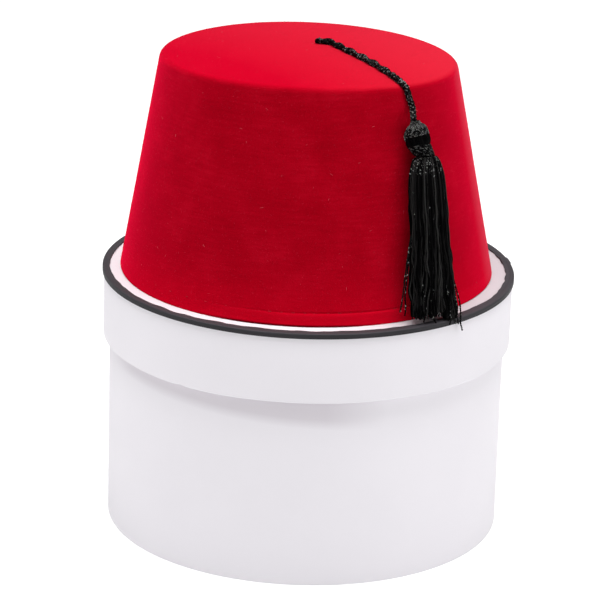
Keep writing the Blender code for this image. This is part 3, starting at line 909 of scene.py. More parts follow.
def nap_tree():
    """Loose fibres on the outside of a skin: each grows out of it and lies over nearly flat."""
    inputs = {"Int": ["Seed"], "Float": ["Density", "Length", "Thickness", "Least Lean", "Lowest"]}
    tree, given, out = shape_tree("felt_nap", "Skin", inputs)
    place = result(tree, "GeometryNodeInputPosition")
    facing = result(tree, "GeometryNodeInputNormal")
    from_middle = vector_math(tree, "SUBTRACT", place, (*HAT_MIDDLE, 0.0))
    on_outside = math_node(tree, "GREATER_THAN", vector_math(tree, "DOT_PRODUCT", from_middle, facing), 0.0)
    clear = math_node(tree, "GREATER_THAN", axes_of(tree, place)["Z"], given["Lowest"])
    roots = {"Mesh": given["Skin"], "Selection": times(tree, on_outside, clear)}
    roots |= {"Density": given["Density"], "Seed": given["Seed"]}
    roots = node(tree, "GeometryNodeDistributePointsOnFaces", roots).outputs
    cone = {end: times(tree, given["Thickness"], part) for end, part in FIBRE_TAPER.items()}
    cone |= {"Vertices": 3, "Depth": given["Length"]}
    fibre = result(tree, "GeometryNodeMeshCone", cone, fill_type="NONE")
    seeds = [math_node(tree, "ADD", given["Seed"], extra) for extra in (1, 2, 3)]
    lean = combined(tree, chance(tree, given["Least Lean"], MOST_LEAN, seeds[0]))
    swing = combined(tree, z=chance(tree, 0.0, math.tau, seeds[1]))
    rooted = {"Points": roots["Points"], "Instance": fibre, "Rotation": roots["Rotation"]}
    rooted["Scale"] = chance(tree, *FIBRE_SIZES, seeds[2])
    fibres = result(tree, "GeometryNodeInstanceOnPoints", rooted)
    for turn in (swing, lean):
        turned_round = {"Instances": fibres, "Rotation": turn, "Local Space": True}
        fibres = result(tree, "GeometryNodeRotateInstances", turned_round)
    return finished(tree, fibres, given, out)


def fibre_material(name, dark, light):
    """Wool fibres, each a little lighter or darker than the next."""
    made, tree, shader = material(name)
    tone = noise_field(tree, object_spot(tree), FIBRE_TONES, 1.0)
    fill(shader, {"Base Color": mixed(tree, tone, dark, light)})
    fill(shader, {"Roughness": 0.9, "Specular IOR Level": 0.1})
    return made


felt_nap = nap_tree()
for fibre_name, values, dark, light in (
    ("felt_fibres", NAP_VALUES, FIBRE_RED, FIBRE_PALE),
    ("felt_lint", LINT_VALUES, LINT_RED, LINT_PALE),
):
    cover = fibre_material(fibre_name, dark, light)
    values = {**values, "Lowest": HAT_BASE + BASE_ROUND, "Material": cover}
    fibres = grown(fibre_name, crown.data.copy(), felt_nap, values)
    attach(fibres, "root")


# ------------------------------------------------------------------------------------------------
# The cord: two soft plies of black silky thread laid round each other, loosely at first and tighter
# towards the tassel, with a pale tie near the start. It leaves the middle of the tip, lies over the
# tip and drops over its edge.

CORD_LIES = 0.0014
CORD_LAY = {
    "Step": 0.00045,
    "Plies": 2,
    "Ply Reach": 0.00078,
    "Threads": 8,
    "Thread Reach": 0.00080,
    "Thread Pitch": 0.0046,
    "Thread Radius": 0.00034,
    "Thread Sides": 6,
    "End Rounding": 0.0016,
}
CORD_TONE_SEED = 3
# Whole turns of the plies round the cord, at shares of its length.
CORD_LAY_START = -0.21
CORD_TURNS = [
    (0.0, 0.0), (0.1, 0.5), (0.195, 1.0), (0.305, 1.5), (0.41, 2.0),
    (0.51, 2.5), (0.62, 3.0), (0.69, 3.7), (0.80, 5.6), (1.0, 9.2),
]
# Over this share of its length the lay tightens: the plies close in and their threads swell.
CORD_TIGHTENS = (0.58, 0.70)
PLIES_CLOSE_IN = 0.45
THREADS_SWELL = 0.22
# Metres along the felt from the tip's middle, bearing in degrees from +X, metres lifted off the felt.
CORD_ROUTE = [
    (0.0048, -52.0, 0.0), (0.0073, -26.0, 0.0), (0.0105, -21.4, 0.0), (0.0142, -30.1, 0.0),
    (0.0198, -38.9, 0.0), (0.0291, -44.8, 0.0), (0.0391, -47.3, 0.0), (0.0499, -49.1, 0.0),
    (0.0624, -50.8, 0.0), (0.0724, -52.1, 0.0), (0.0749, -51.4, 0.0), (0.0799, -50.5, 0.0),
    (0.0835, -49.9, 0.0006),
]
CORD_END_LENGTH = 0.0020
CORD_POINT_SPACING = 0.0034
TIE_PLACE = 0.0021
TIE_RADIUS = 0.0018
TIE_STEPS = 24
TIE_THREAD = {
    "Step": 0.0003, "Strands": 1, "Reach": 0.0, "Pitch": 0.001,
    "Thread Radius": 0.00020, "Thread Sides": 6, "Seed": 6,
}
TASSEL_BEARING = math.radians(-49.4)
TASSEL_LEAN = math.radians(2.3)
TASSEL_OFF_FELT = 0.0065
NECK_FOOT_HEIGHT = 0.2105
NECK_BEND = math.radians(24.0)
NECK_LENGTH = 0.0080
HEAD_TOP = 0.0170
THREAD_BLACK = (0.0010, 0.0009, 0.0011, 1.0)
THREAD_GLINT = (0.300, 0.292, 0.284, 1.0)
GLINT_TINT = 0.12
GLINT_FADE = 1.1
GLINT_SMOOTHER = 0.10
SILK_ROUGHNESS = 0.46
TONE_SPREAD = 97.0
PALE_RARITY = 4.0
# Each silk: the share of its twists that get a painted glint, before and after a change so many metres
# along it, how pale its palest strands are, and the metres to one twist.
CORD_SILK = {
    "First Glints": 0.085, "Last Glints": 0.21, "Change From": 0.030, "Change To": 0.056,
    "Pale Strands": 0.014, "Twist Pitch": 0.0009,
}
TIE_SILK = {"First Glints": 0.95, "Last Glints": 0.95, "Pale Strands": 0.7, "Twist Pitch": 0.0008}


def tassel_hanger():
    """The tassel's frame: the neck's foot off the felt, turned to the felt's slope and bearing."""
    edge_foot = DOME_RUN + EDGE_RUN
    lift = TASSEL_OFF_FELT * math.sin(SIDE_LEAN)
    down = (on_felt(edge_foot).y + lift - NECK_FOOT_HEIGHT) / math.cos(SIDE_LEAN)
    radius, height = on_felt(edge_foot + down, TASSEL_OFF_FELT)
    out = HAT_MIDDLE + radius * Vector((math.cos(TASSEL_BEARING), math.sin(TASSEL_BEARING)))
    turns = Euler((-SIDE_LEAN, TASSEL_LEAN, TASSEL_BEARING + math.pi / 2))
    return Matrix.Translation((*out, height)) @ turns.to_matrix().to_4x4()


def neck_place(up):
    """Matrix of the place and turn of a ring that far up the bent neck and head."""
    bent = held(up / NECK_LENGTH)
    turn = NECK_BEND * bent
    bend_radius = NECK_LENGTH / NECK_BEND
    straight = up - NECK_LENGTH * bent
    across = -bend_radius * (1 - math.cos(turn)) - straight * math.sin(turn)
    height = bend_radius * math.sin(turn) + straight * math.cos(turn)
    return Matrix.Translation((across, 0, height)) @ Matrix.Rotation(-turn, 4, "Y")


def smooth_line(guide, spacing):
    """Points along a smooth curve through the guide points."""
    guide = [2 * guide[0] - guide[1], *guide, 2 * guide[-1] - guide[-2]]
    points = []
    for before, start, end, after in zip(guide, guide[1:], guide[2:], guide[3:]):
        steps = max(1, round((end - start).length / spacing))
        for step in range(steps):
            t = step / steps
            bend = 2 * before - 5 * start + 4 * end - after
            twist = 3 * start - before - 3 * end + after
            points.append(start + 0.5 * ((end - before) * t + bend * t**2 + twist * t**3))
    return [*points, guide[-2]]


def threads(name, lines, tree, cover, values):
    """The threads that a tree lays along or round some lines, each a list of points."""
    data = bpy.data.curves.new(name, "CURVE")
    data.dimensions = "3D"
    for points in lines:
        line = data.splines.new("POLY")
        line.points.add(len(points) - 1)
        for spot, place in zip(line.points, points):
            spot.co = (*place, 1.0)
    return grown(name, data, tree, {**values, "Material": cover})


def float_curve(tree, value, points):
    """A smooth rule from one number to another, both from 0 to 1, through the points."""
    made = node(tree, "ShaderNodeFloatCurve", {"Value": value})
    line = made.mapping.curves[0]
    for place, height in points[1:-1]:
        line.points.new(place, height)
    line.points[0].location = points[0]
    line.points[len(line.points) - 1].location = points[-1]
    made.mapping.update()
    return made.outputs["Value"]


def copied(tree, line, amount):
    """Copies of a line on the same spot, and the number of each copy."""
    inputs = {"Geometry": line, "Amount": amount}
    copies = node(tree, "GeometryNodeDuplicateElements", inputs, domain="SPLINE").outputs
    return copies["Geometry"], copies["Duplicate Index"]


def strand_group():
    """Sets copies of a line side by side round it and winds them by a given number of turns."""
    tree, given, out = new_tree(
        "laid_strands",
        "GeometryNodeTree",
        {"Geometry": ["Line"], "Int": ["Strands"], "Float": ["Reach", "Turns"]},
        {"Geometry": ["Strands"], "Int": ["Number"]},
    )
    copies, number = copied(tree, given["Line"], given["Strands"])
    turns = math_node(tree, "ADD", given["Turns"], math_node(tree, "DIVIDE", number, given["Strands"]))
    side = result(tree, "GeometryNodeInputNormal")
    turn = {"Axis": result(tree, "GeometryNodeInputTangent"), "Angle": times(tree, turns, math.tau)}
    outward = result(tree, "ShaderNodeVectorRotate", {"Vector": side, **turn}, rotation_type="AXIS_ANGLE")
    offset = vector_math(tree, "SCALE", outward, Scale=given["Reach"])
    fill(out, {"Strands": moved(tree, copies, Offset=offset), "Number": number})
    return tree


def strands_round(tree, line, strands, reach, turns):
    """Strands laid round a line, and the number of each strand."""
    inputs = {"Line": line, "Strands": strands, "Reach": reach, "Turns": turns}
    made = node(tree, "GeometryNodeGroup", inputs, node_tree=laid_strands).outputs
    return made["Strands"], made["Number"]


def marked(tree, shape, name, value, domain):
    """A shape that carries a number under a name, for the thread material to read."""
    inputs = {"Geometry": shape, "Name": name, "Value": value}
    kind = "GeometryNodeStoreNamedAttribute"
    return result(tree, kind, inputs, data_type="FLOAT", domain=domain)


def spun(tree, lines, tone, given, out):
    """Ends a tree of threads: round ones along the lines, each strand with its tone."""
    spline = node(tree, "GeometryNodeSplineParameter").outputs
    lines = marked(tree, lines, "tone", tone, "CURVE")
    lines = marked(tree, lines, "along", spline["Length"], "POINT")
    ring = ring_of(tree, given["Thread Radius"], given["Thread Sides"])
    ring = marked(tree, ring, "around", spline["Factor"], "POINT")
    return finished(tree, tube(tree, lines, ring), given, out)


def cord_tree():
    """The cord: plies laid round the route, and each ply made of threads laid the other way."""
    lengths = ["Step", "Ply Reach", "Thread Reach", "Thread Pitch", "Thread Radius", "End Rounding"]
    inputs = {"Int": ["Plies", "Threads", "Thread Sides"], "Float": lengths}
    tree, given, out = shape_tree("laid_cord", "Route", inputs)
    spline = node(tree, "GeometryNodeSplineParameter").outputs
    most_turns = CORD_TURNS[-1][1]
    turn_share = float_curve(tree, spline["Factor"], [(at, turns / most_turns) for at, turns in CORD_TURNS])
    turns = math_node(tree, "MULTIPLY_ADD", turn_share, most_turns, CORD_LAY_START)
    from_end = math_node(tree, "DIVIDE", spline["Length"], given["End Rounding"])
    fullness = math_node(tree, "POWER", math_node(tree, "MINIMUM", from_end, 1.0), 0.5)
    tight = share(tree, spline["Factor"], *CORD_TIGHTENS)
    closed_in = math_node(tree, "MULTIPLY_ADD", tight, -PLIES_CLOSE_IN, 1.0)
    swollen = math_node(tree, "MULTIPLY_ADD", tight, THREADS_SWELL, 1.0)
    line = resampled(tree, given["Route"], "LENGTH", given["Step"])
    reach = times(tree, given["Ply Reach"], fullness, closed_in)
    plies, _ = strands_round(tree, line, given["Plies"], reach, turns)
    reach = times(tree, given["Thread Reach"], fullness, swollen)
    turns = math_node(tree, "DIVIDE", spline["Length"], times(tree, given["Thread Pitch"], -1.0))
    laid, number = strands_round(tree, plies, given["Threads"], reach, turns)
    return spun(tree, laid, chance(tree, 0.0, 1.0, CORD_TONE_SEED, ID=number), given, out)


def twisted_tree():
    """Threads along given lines: each line carries a few strands wound round it at a pitch."""
    lengths = ["Step", "Reach", "Pitch", "Thread Radius"]
    inputs = {"Int": ["Strands", "Thread Sides", "Seed"], "Float": lengths}
    tree, given, out = shape_tree("twisted_threads", "Lines", inputs)
    lines = resampled(tree, given["Lines"], "LENGTH", given["Step"])
    length = node(tree, "GeometryNodeSplineParameter").outputs["Length"]
    turns = math_node(tree, "DIVIDE", length, given["Pitch"])
    laid, _ = strands_round(tree, lines, given["Strands"], given["Reach"], turns)
    return spun(tree, laid, chance(tree, 0.0, 1.0, given["Seed"]), given, out)


def joined(name, objects):
    """One object from several, keeping their materials and attributes."""
    with bpy.context.temp_override(active_object=objects[0], selected_editable_objects=objects):
        bpy.ops.object.join()
    objects[0].name = name
    return objects[0]


def attribute(tree, name):
    """A number that the mesh carries under a name."""
    return node(tree, "ShaderNodeAttribute", attribute_name=name).outputs["Fac"]


def silk_group():
    """Silky twisted thread: near black, with glints painted pale where the twist would catch the light."""
    numbers = ["First Glints", "Last Glints", "Change From", "Change To", "Pale Strands", "Twist Pitch"]
    tree, given, out = new_tree(
        "silk_thread",
        "ShaderNodeTree",
        {"Color": ["Dark", "Glint"], "Float": numbers},
        {"Color": ["Color"], "Float": ["Roughness", "Height"]},
    )
    along, tone = attribute(tree, "along"), attribute(tree, "tone")
    twists = math_node(tree, "DIVIDE", along, given["Twist Pitch"])
    turns = math_node(tree, "ADD", attribute(tree, "around"), twists)
    wave = math_node(tree, "SINE", times(tree, turns, math.tau))
    height = math_node(tree, "MULTIPLY_ADD", wave, 0.5, 0.5)
    twist = math_node(tree, "FLOOR", math_node(tree, "ADD", turns, 0.25))
    place = combined(tree, twist, times(tree, tone, TONE_SPREAD))
    luck = node(tree, "ShaderNodeTexWhiteNoise", {"Vector": place}, noise_dimensions="2D").outputs
    change = given["Change From"], given["Change To"]
    glints = share(tree, along, *change, given["First Glints"], given["Last Glints"])
    lit = math_node(tree, "LESS_THAN", luck["Value"], glints)
    bright = math_node(tree, "MULTIPLY_ADD", luck["Value"], -GLINT_FADE, 1.0)
    pale = times(tree, math_node(tree, "POWER", tone, PALE_RARITY), given["Pale Strands"])
    glint = math_node(tree, "MAXIMUM", times(tree, height, bright, lit), pale)
    tint = mixed(tree, GLINT_TINT, given["Glint"], luck["Color"], blend_type="MULTIPLY")
    fill(out, {"Color": mixed(tree, glint, given["Dark"], tint), "Height": height})
    fill(out, {"Roughness": math_node(tree, "MULTIPLY_ADD", glint, -GLINT_SMOOTHER, SILK_ROUGHNESS)})
    return tree


def silk_material(name, silk):
    """One piece's own silk thread."""
    made, tree, shader = material(name)
    values = {"Dark": THREAD_BLACK, "Glint": THREAD_GLINT, "Change From": 0.0, "Change To": 1.0, **silk}
    cover = node(tree, "ShaderNodeGroup", values, node_tree=silk_thread).outputs
    relief = bumped(tree, cover["Height"], strength=0.6, distance=0.00010)
    fill(shader, {"Base Color": cover["Color"], "Roughness": cover["Roughness"], "Normal": relief})
    fill(shader, {"Specular IOR Level": 0.015})
    return made


hanger = tassel_hanger()
cord_guide = []
for run, bearing, lift in CORD_ROUTE:
    radius, height = on_felt(run, CORD_LIES + lift)
    turn = math.radians(bearing)
    flat = HAT_MIDDLE + radius * Vector((math.cos(turn), math.sin(turn)))
    cord_guide.append(settled(Vector((flat.x, flat.y, height))))
for above in (CORD_END_LENGTH, 0.0):
    cord_guide.append(hanger @ neck_place(HEAD_TOP + TOUCH_GAP + above) @ Vector())
cord_points = smooth_line(cord_guide, CORD_POINT_SPACING)

tie_ahead = (cord_points[1] - cord_points[0]).normalized()
tie_side = tie_ahead.cross(Vector((0.0, 0.0, 1.0))).normalized()
tie_line = []
for step in range(TIE_STEPS + 1):
    turn = math.tau * step / TIE_STEPS
    tie_out = tie_side * math.cos(turn) + tie_side.cross(tie_ahead) * math.sin(turn)
    tie_line.append(cord_points[0] + TIE_PLACE * tie_ahead + TIE_RADIUS * tie_out)

laid_strands = strand_group()
silk_thread = silk_group()
twisted_threads = twisted_tree()
black_cord = silk_material("black_cord", CORD_SILK)
pale_silk = silk_material("pale_thread", TIE_SILK)
laid_cord = threads("hat_cord", [cord_points], cord_tree(), black_cord, CORD_LAY)
cord_tie = threads("cord_tie", [tie_line], twisted_threads, pale_silk, TIE_THREAD)
hat_cord = joined("hat_cord", [laid_cord, cord_tie])
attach(hat_cord, "root")
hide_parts("stalk")


# ------------------------------------------------------------------------------------------------
# The tassel's head: a firm dome bound over with black threads from its top to the seam, and netted
# over its upper half with finer threads that glint. A collar of threads grips the cord's end, and a
# loop of spare cord bulges out at one side.

# Metres above the neck's foot, and the radius to the middle of the threads.
HEAD_ROWS = [
    (0.0184, 0.0019), (0.0175, 0.0022), (0.0167, 0.0028), (0.0160, 0.0038), (0.0147, 0.0047),
    (0.0128, 0.0053), (0.0106, 0.0057), (0.0084, 0.0058), (0.0071, 0.0056), (0.0066, 0.0053),
]
HEAD_SPACING = 0.0006
HEAD_SIDES = 32
HEAD_BINDING = {
    "Points": 26, "Threads": 56, "Turns": 0.04, "Thread Radius": 0.00034, "Thread Sides": 5, "Seed": 5,
}
DOME_TOP = 0.0164
CORE_TOP = 0.0163
CORE_SUNK = Vector((0.0003, 0.0, 0.0002))
NET_THREADS = {"Points": 30, "Threads": 28, "Thread Radius": 0.00017, "Thread Sides": 5}
NET_TURNS = 0.30
NET_LOWEST = 0.0108
NET_PROUD = Vector((0.0003, 0.0, 0.0002))
LOOP_BEARING = math.radians(143.0)
LOOP_ROWS = [
    (0.0166, 0.0024), (0.0158, 0.0034), (0.0146, 0.0046), (0.0130, 0.0056),
    (0.0112, 0.0058), (0.0098, 0.0054), (0.0088, 0.0048),
]
LOOP_CORD = {
    "Step": 0.0004, "Strands": 3, "Reach": 0.00045, "Pitch": 0.0042,
    "Thread Radius": 0.00042, "Thread Sides": 6, "Seed": 14,
}
SEAM_UP = 0.0066
SEAM_RADIUS = 0.0058
SEAM_STITCH_BEARING = math.radians(-155.0)
SEAM_STITCH_STEP = math.radians(4.0)
SEAM_STITCH_STEPS = 6
# The seam's stitch is of the same pale thread as the tie, a little finer.
SEAM_STITCH = {**TIE_THREAD, "Thread Radius": 0.00018, "Seed": 7}
SEAM_SHIFT = 0.0038
HEAD_SHIFT = 0.0015
HEAD_TURN = math.radians(9.9)
HEAD_TURN_AXIS = Vector((-0.903, -0.43, 0.0))
# How much of their straight height the leaning neck and head keep.
NECK_SHORTER = 0.91
HEAD_SHORTER = 0.985
HEAD_SILK = {
    "First Glints": 0.16, "Last Glints": 0.0, "Change From": 0.0060, "Change To": 0.0090,
    "Pale Strands": 0.010, "Twist Pitch": 0.0010,
}
NET_SILK = {
    "First Glints": 0.62, "Last Glints": 0.40, "Change From": 0.004, "Change To": 0.008,
    "Pale Strands": 0.02, "Twist Pitch": 0.0012,
}


def wrapped_tree():
    """Threads laid over a turned form, each along the form's outline and swung round by some turns."""
    inputs = {"Int": ["Points", "Threads", "Thread Sides", "Seed"], "Float": ["Turns", "Thread Radius"]}
    tree, given, out = shape_tree("wrapped_threads", "Outline", inputs)
    line = resampled(tree, given["Outline"], "COUNT", given["Points"])
    copies, number = copied(tree, line, given["Threads"])
    factor = node(tree, "GeometryNodeSplineParameter").outputs["Factor"]
    first = math_node(tree, "DIVIDE", number, given["Threads"])
    turns = math_node(tree, "MULTIPLY_ADD", factor, given["Turns"], first)
    turn = {"Vector": result(tree, "GeometryNodeInputPosition"), "Angle": times(tree, turns, math.tau)}
    swung = result(tree, "ShaderNodeVectorRotate", turn, rotation_type="Z_AXIS")
    tone = chance(tree, 0.0, 1.0, given["Seed"], ID=number)
    return spun(tree, moved(tree, copies, Position=swung), tone, given, out)


def round_line(rows, turn=0.0):
    """A smooth line through (height, radius) rows on one bearing."""
    points = [Vector((out * math.cos(turn), out * math.sin(turn), up)) for up, out in rows]
    return smooth_line(points, HEAD_SPACING)


def head_place(up):
    """Matrix of the place and turn of a ring of the head or band: the neck leans, the head less."""
    leaning = held(up / SEAM_UP)
    above = max(up - SEAM_UP, 0.0)
    across = -SEAM_SHIFT * leaning - HEAD_SHIFT * above / (HEAD_TOP - SEAM_UP)
    height = NECK_SHORTER * min(up, SEAM_UP) + HEAD_SHORTER * above
    turn = Matrix.Rotation(HEAD_TURN * leaning, 4, HEAD_TURN_AXIS)
    return Matrix.Translation((across, 0.0, height)) @ turn


def bent_into_place(obj):
    """Leans a straight head or neck piece over with the neck, and moves it to the tassel's place."""
    for vertex in obj.data.vertices:
        x, y, up = vertex.co
        vertex.co = hanger @ (head_place(up) @ Vector((x, y, 0.0)))
    obj.data.update()


wrapped_threads = wrapped_tree()
tassel_thread = silk_material("tassel_thread", HEAD_SILK)
net_silk = silk_material("net_thread", NET_SILK)
head_line = round_line(HEAD_ROWS)
core_points = [(point - CORE_SUNK).xz for point in head_line if point.z < DOME_TOP]
core_outline = [(0.0, CORE_TOP), *core_points, (0.0, core_points[-1].y)]
head_core = turned("head_core", core_outline, tassel_thread, HEAD_SIDES)
head_parts = [head_core, threads("head_bound", [head_line], wrapped_threads, tassel_thread, HEAD_BINDING)]
net_line = [point + NET_PROUD for point in head_line if point.z >= NET_LOWEST]
for turns, seed in ((NET_TURNS, 11), (-NET_TURNS, 12)):
    values = {**NET_THREADS, "Turns": turns, "Seed": seed}
    head_parts.append(threads(f"head_net_{seed}", [net_line], wrapped_threads, net_silk, values))
loop_line = round_line(LOOP_ROWS, LOOP_BEARING)
head_parts.append(threads("head_loop", [loop_line], twisted_threads, net_silk, LOOP_CORD))
seam_line = []
for step in range(SEAM_STITCH_STEPS + 1):
    turn = SEAM_STITCH_BEARING + SEAM_STITCH_STEP * step
    seam_line.append((SEAM_RADIUS * math.cos(turn), SEAM_RADIUS * math.sin(turn), SEAM_UP))
head_parts.append(threads("seam_stitch", [seam_line], twisted_threads, pale_silk, SEAM_STITCH))
tassel_head = joined("tassel_head", head_parts)
bent_into_place(tassel_head)
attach(tassel_head, "root")
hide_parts("tassel")


# ------------------------------------------------------------------------------------------------
# The band: fine black thread wound tight and flat round the neck, turn beside turn, to hold the
# skirt's threads.

BAND_TOP = 0.0066
BAND_BOTTOM = 0.0006
BAND_TOP_RADIUS = 0.0055
BAND_BOTTOM_RADIUS = 0.0048
BAND_TURNS = 15
BAND_TURN_POINTS = 40
BAND_THREAD_RADIUS = 0.00026
BAND_SIDES = 6
BAND_SEED = 2
BAND_SILK = {"First Glints": 0.11, "Last Glints": 0.11, "Pale Strands": 0.0, "Twist Pitch": 0.0006}

band_silk = silk_material("band_thread", BAND_SILK)
band_line = [
    (BAND_TOP_RADIUS, 0.0, BAND_TOP - BAND_THREAD_RADIUS),
    (BAND_BOTTOM_RADIUS, 0.0, BAND_BOTTOM + BAND_THREAD_RADIUS),
]
band_values = {"Points": BAND_TURNS * BAND_TURN_POINTS, "Threads": 1, "Turns": float(BAND_TURNS)}
band_values |= {"Thread Radius": BAND_THREAD_RADIUS, "Thread Sides": BAND_SIDES, "Seed": BAND_SEED}
neck_band = threads("neck_winding", [band_line], wrapped_threads, band_silk, band_values)
bent_into_place(neck_band)
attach(neck_band, "root")
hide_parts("neck_band")


# ------------------------------------------------------------------------------------------------
# The skirt: some hundreds of fine twisted silky cords, folded over at the neck so that both halves
# hang. They spread over the shoulder, fall nearly straight, and stray and cross lower down.

SKIRT_LENGTH = 0.0776
# Metres below the neck's foot, half the skirt's width and half its depth.
SKIRT_ROWS = [
    (0.0000, 0.0045, 0.0040), (0.0020, 0.0074, 0.0050), (0.0060, 0.0091, 0.0056), (0.0130, 0.0105, 0.0060),
    (0.0300, 0.0112, 0.0061), (0.0500, 0.0125, 0.0061), (0.0700, 0.0136, 0.0060), (0.0776, 0.0136, 0.0057),
]
SKIRT_WIDEST = 0.016
SKIRT_CORDS = {
    "Strands": 330, "Points": 44, "Length": SKIRT_LENGTH, "Thread Radius": 0.00036, "Thread Sides": 5,
    "Shared Sway": 0.0075, "Own Sway": 0.0074, "Seed": 4,
}
GOLDEN_ANGLE = math.pi * (3 - math.sqrt(5))
# A strand's points crowd towards its top, and most of the strands hang near the skirt's outside.
POINTS_CROWD = 1.35
STRAND_DEPTHS = (0.35, 1.0)
STRANDS_OUTSIDE = 0.4
# The strands at the right hang closer together, to the left and off the felt, and are a little longer.
RIGHT_STRANDS = (0.35, 1.0)
RIGHT_CLOSER = 0.6
RIGHT_TO_LEFT = 0.0040
RIGHT_OFF_FELT = 0.0055
RIGHT_LONGER = 0.042
STRAND_LENGTHS = (0.962, 1.004)
# The parts of the sway to the side, off the felt and up, how it grows down the strand, and how its
# patterns vary round and down the skirt: first the one that the strands share, then each one's own.
SWAY_SHARES = (1.0, 0.45, 0.0)
SWAY_GROWS = 1.1
SHARED_SPREAD = 1.7
SHARED_DOWN = 1.6
SHARED_WAVES = 1.6
OWN_SPREAD = 90.0
OWN_DOWN = 6.5
SKIRT_SILK = {
    "First Glints": 0.24, "Last Glints": 0.0010, "Change From": 0.0025, "Change To": 0.0105,
    "Pale Strands": 0.09, "Twist Pitch": 0.0008,
}
STRAY_SILK = {"First Glints": 0.10, "Last Glints": 0.10, "Pale Strands": 0.05, "Twist Pitch": 0.0011}
STRAY_SPACING = 0.0015
STRAY_CORD = {
    "Step": 0.0004, "Strands": 2, "Reach": 0.00024, "Pitch": 0.0021,
    "Thread Radius": 0.00024, "Thread Sides": 5, "Seed": 21,
}
# The threads that stray from the skirt, each as a few points in metres from its root to its tip.
STRAY_THREADS = [
    [
        (0.0486, -0.0782, 0.1750), (0.0474, -0.0813, 0.1662), (0.0463, -0.0848, 0.1562),
        (0.0457, -0.0872, 0.1494), (0.0451, -0.0891, 0.1444), (0.0443, -0.0910, 0.1402),
    ],
    [
        (0.0490, -0.0789, 0.1731), (0.0477, -0.0824, 0.1631), (0.0471, -0.0853, 0.1544),
        (0.0466, -0.0876, 0.1475), (0.0471, -0.0892, 0.1420), (0.0467, -0.0902, 0.1383),
    ],
    [
        (0.0684, -0.0673, 0.1587), (0.0703, -0.0683, 0.1510), (0.0723, -0.0692, 0.1445),
        (0.0739, -0.0706, 0.1390), (0.0745, -0.0733, 0.1338), (0.0745, -0.0748, 0.1303),
        (0.0755, -0.0754, 0.1266),
    ],
    [
        (0.0682, -0.0690, 0.1545), (0.0705, -0.0704, 0.1462), (0.0723, -0.0722, 0.1388),
        (0.0727, -0.0742, 0.1333), (0.0735, -0.0751, 0.1297),
    ],
    [
        (0.0672, -0.0706, 0.1538), (0.0696, -0.0722, 0.1450), (0.0712, -0.0741, 0.1376),
        (0.0714, -0.0757, 0.1326), (0.0722, -0.0765, 0.1303),
    ],
    [
        (0.0680, -0.0682, 0.1570), (0.0705, -0.0695, 0.1483), (0.0719, -0.0708, 0.1415),
        (0.0729, -0.0720, 0.1372), (0.0727, -0.0727, 0.1337),
    ],
    [
        (0.0665, -0.0769, 0.1501), (0.0685, -0.0771, 0.1426), (0.0694, -0.0786, 0.1358),
        (0.0691, -0.0806, 0.1309),
    ],
    [
        (0.0550, -0.0856, 0.1527), (0.0563, -0.0865, 0.1454), (0.0569, -0.0874, 0.1396),
        (0.0560, -0.0891, 0.1349),
    ],
    [
        (0.0605, -0.0832, 0.1495), (0.0593, -0.0857, 0.1427), (0.0602, -0.0863, 0.1373),
        (0.0621, -0.0859, 0.1336),
    ],
]


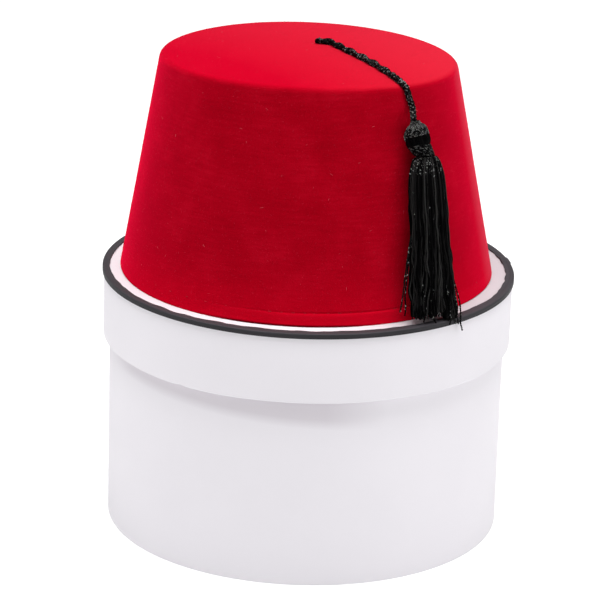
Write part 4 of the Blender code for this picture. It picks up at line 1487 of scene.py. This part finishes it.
def skirt_tree():
    """Many hanging cords, spread evenly round the neck, each with its own length and sway."""
    lengths = ["Length", "Thread Radius", "Shared Sway", "Own Sway"]
    inputs = {"Int": ["Strands", "Points", "Thread Sides", "Seed"], "Float": lengths}
    tree, given, out = shape_tree("hanging_strands", "Start", inputs)
    straight = result(tree, "GeometryNodeCurvePrimitiveLine", {"End": (0.0, 0.0, -1.0)})
    line = resampled(tree, straight, "COUNT", given["Points"])
    copies, number = copied(tree, line, given["Strands"])
    factor = node(tree, "GeometryNodeSplineParameter").outputs["Factor"]
    down = math_node(tree, "POWER", factor, POINTS_CROWD)
    angle = times(tree, number, GOLDEN_ANGLE)
    east, north = math_node(tree, "COSINE", angle), math_node(tree, "SINE", angle)

    def own(low, high, extra):
        """A random number of each strand's own."""
        return chance(tree, low, high, math_node(tree, "ADD", given["Seed"], extra), ID=number)

    def swayed(pattern, amount):
        """A pattern's push to the sides, which grows down the strand."""
        push = vector_math(tree, "SUBTRACT", pattern, (0.5, 0.5, 0.5))
        push = vector_math(tree, "MULTIPLY", push, SWAY_SHARES)
        grown_down = times(tree, math_node(tree, "POWER", down, SWAY_GROWS), amount)
        return vector_math(tree, "SCALE", push, Scale=grown_down)

    widths = [(at / SKIRT_LENGTH, width / SKIRT_WIDEST) for at, width, _ in SKIRT_ROWS]
    depths = [(at / SKIRT_LENGTH, depth / SKIRT_WIDEST) for at, _, depth in SKIRT_ROWS]
    half_width, half_depth = float_curve(tree, down, widths), float_curve(tree, down, depths)
    outward = math_node(tree, "POWER", own(*STRAND_DEPTHS, 1), STRANDS_OUTSIDE)
    reach = times(tree, outward, SKIRT_WIDEST)
    right = share(tree, east, *RIGHT_STRANDS, interpolation_type="SMOOTHSTEP")
    gathered = times(tree, right, math_node(tree, "POWER", down, 2.0))
    closer = math_node(tree, "MULTIPLY_ADD", gathered, -RIGHT_CLOSER, 1.0)
    longer = math_node(tree, "MULTIPLY_ADD", right, RIGHT_LONGER, 1.0)
    x = weighted(tree, (times(tree, half_width, east, reach), 1.0), (gathered, -RIGHT_TO_LEFT))
    y = weighted(tree, (times(tree, half_depth, north, reach, closer), 1.0), (gathered, -RIGHT_OFF_FELT))
    z = times(tree, down, given["Length"], own(*STRAND_LENGTHS, 2), longer, -1.0)
    round_way = [times(tree, way, SHARED_SPREAD) for way in (east, north)]
    shared_spot = combined(tree, *round_way, times(tree, down, SHARED_DOWN))
    shared = noise_field(tree, shared_spot, SHARED_WAVES, 2.0, output="Color")
    own_ways = [own(0.0, OWN_SPREAD, extra) for extra in (3, 4)]
    own_spot = combined(tree, *own_ways, times(tree, down, OWN_DOWN))
    alone = noise_field(tree, own_spot, 1.0, 1.0, output="Color")
    place = vector_math(tree, "ADD", combined(tree, x, y, z), swayed(shared, given["Shared Sway"]))
    place = vector_math(tree, "ADD", place, swayed(alone, given["Own Sway"]))
    return spun(tree, moved(tree, copies, Position=place), own(0.0, 1.0, 5), given, out)


skirt_silk = silk_material("skirt_thread", SKIRT_SILK)
stray_silk = silk_material("stray_thread", STRAY_SILK)
skirt_start = bpy.data.meshes.new("skirt_start")
hanging = grown("tassel_skirt", skirt_start, skirt_tree(), {**SKIRT_CORDS, "Material": skirt_silk})
hanging.data.transform(hanger)
stray_lines = [smooth_line([Vector(point) for point in line], STRAY_SPACING) for line in STRAY_THREADS]
stray = threads("stray_threads", stray_lines, twisted_threads, stray_silk, STRAY_CORD)
tassel_skirt = joined("tassel_skirt", [hanging, stray])
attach(tassel_skirt, "root")
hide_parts("tassel")
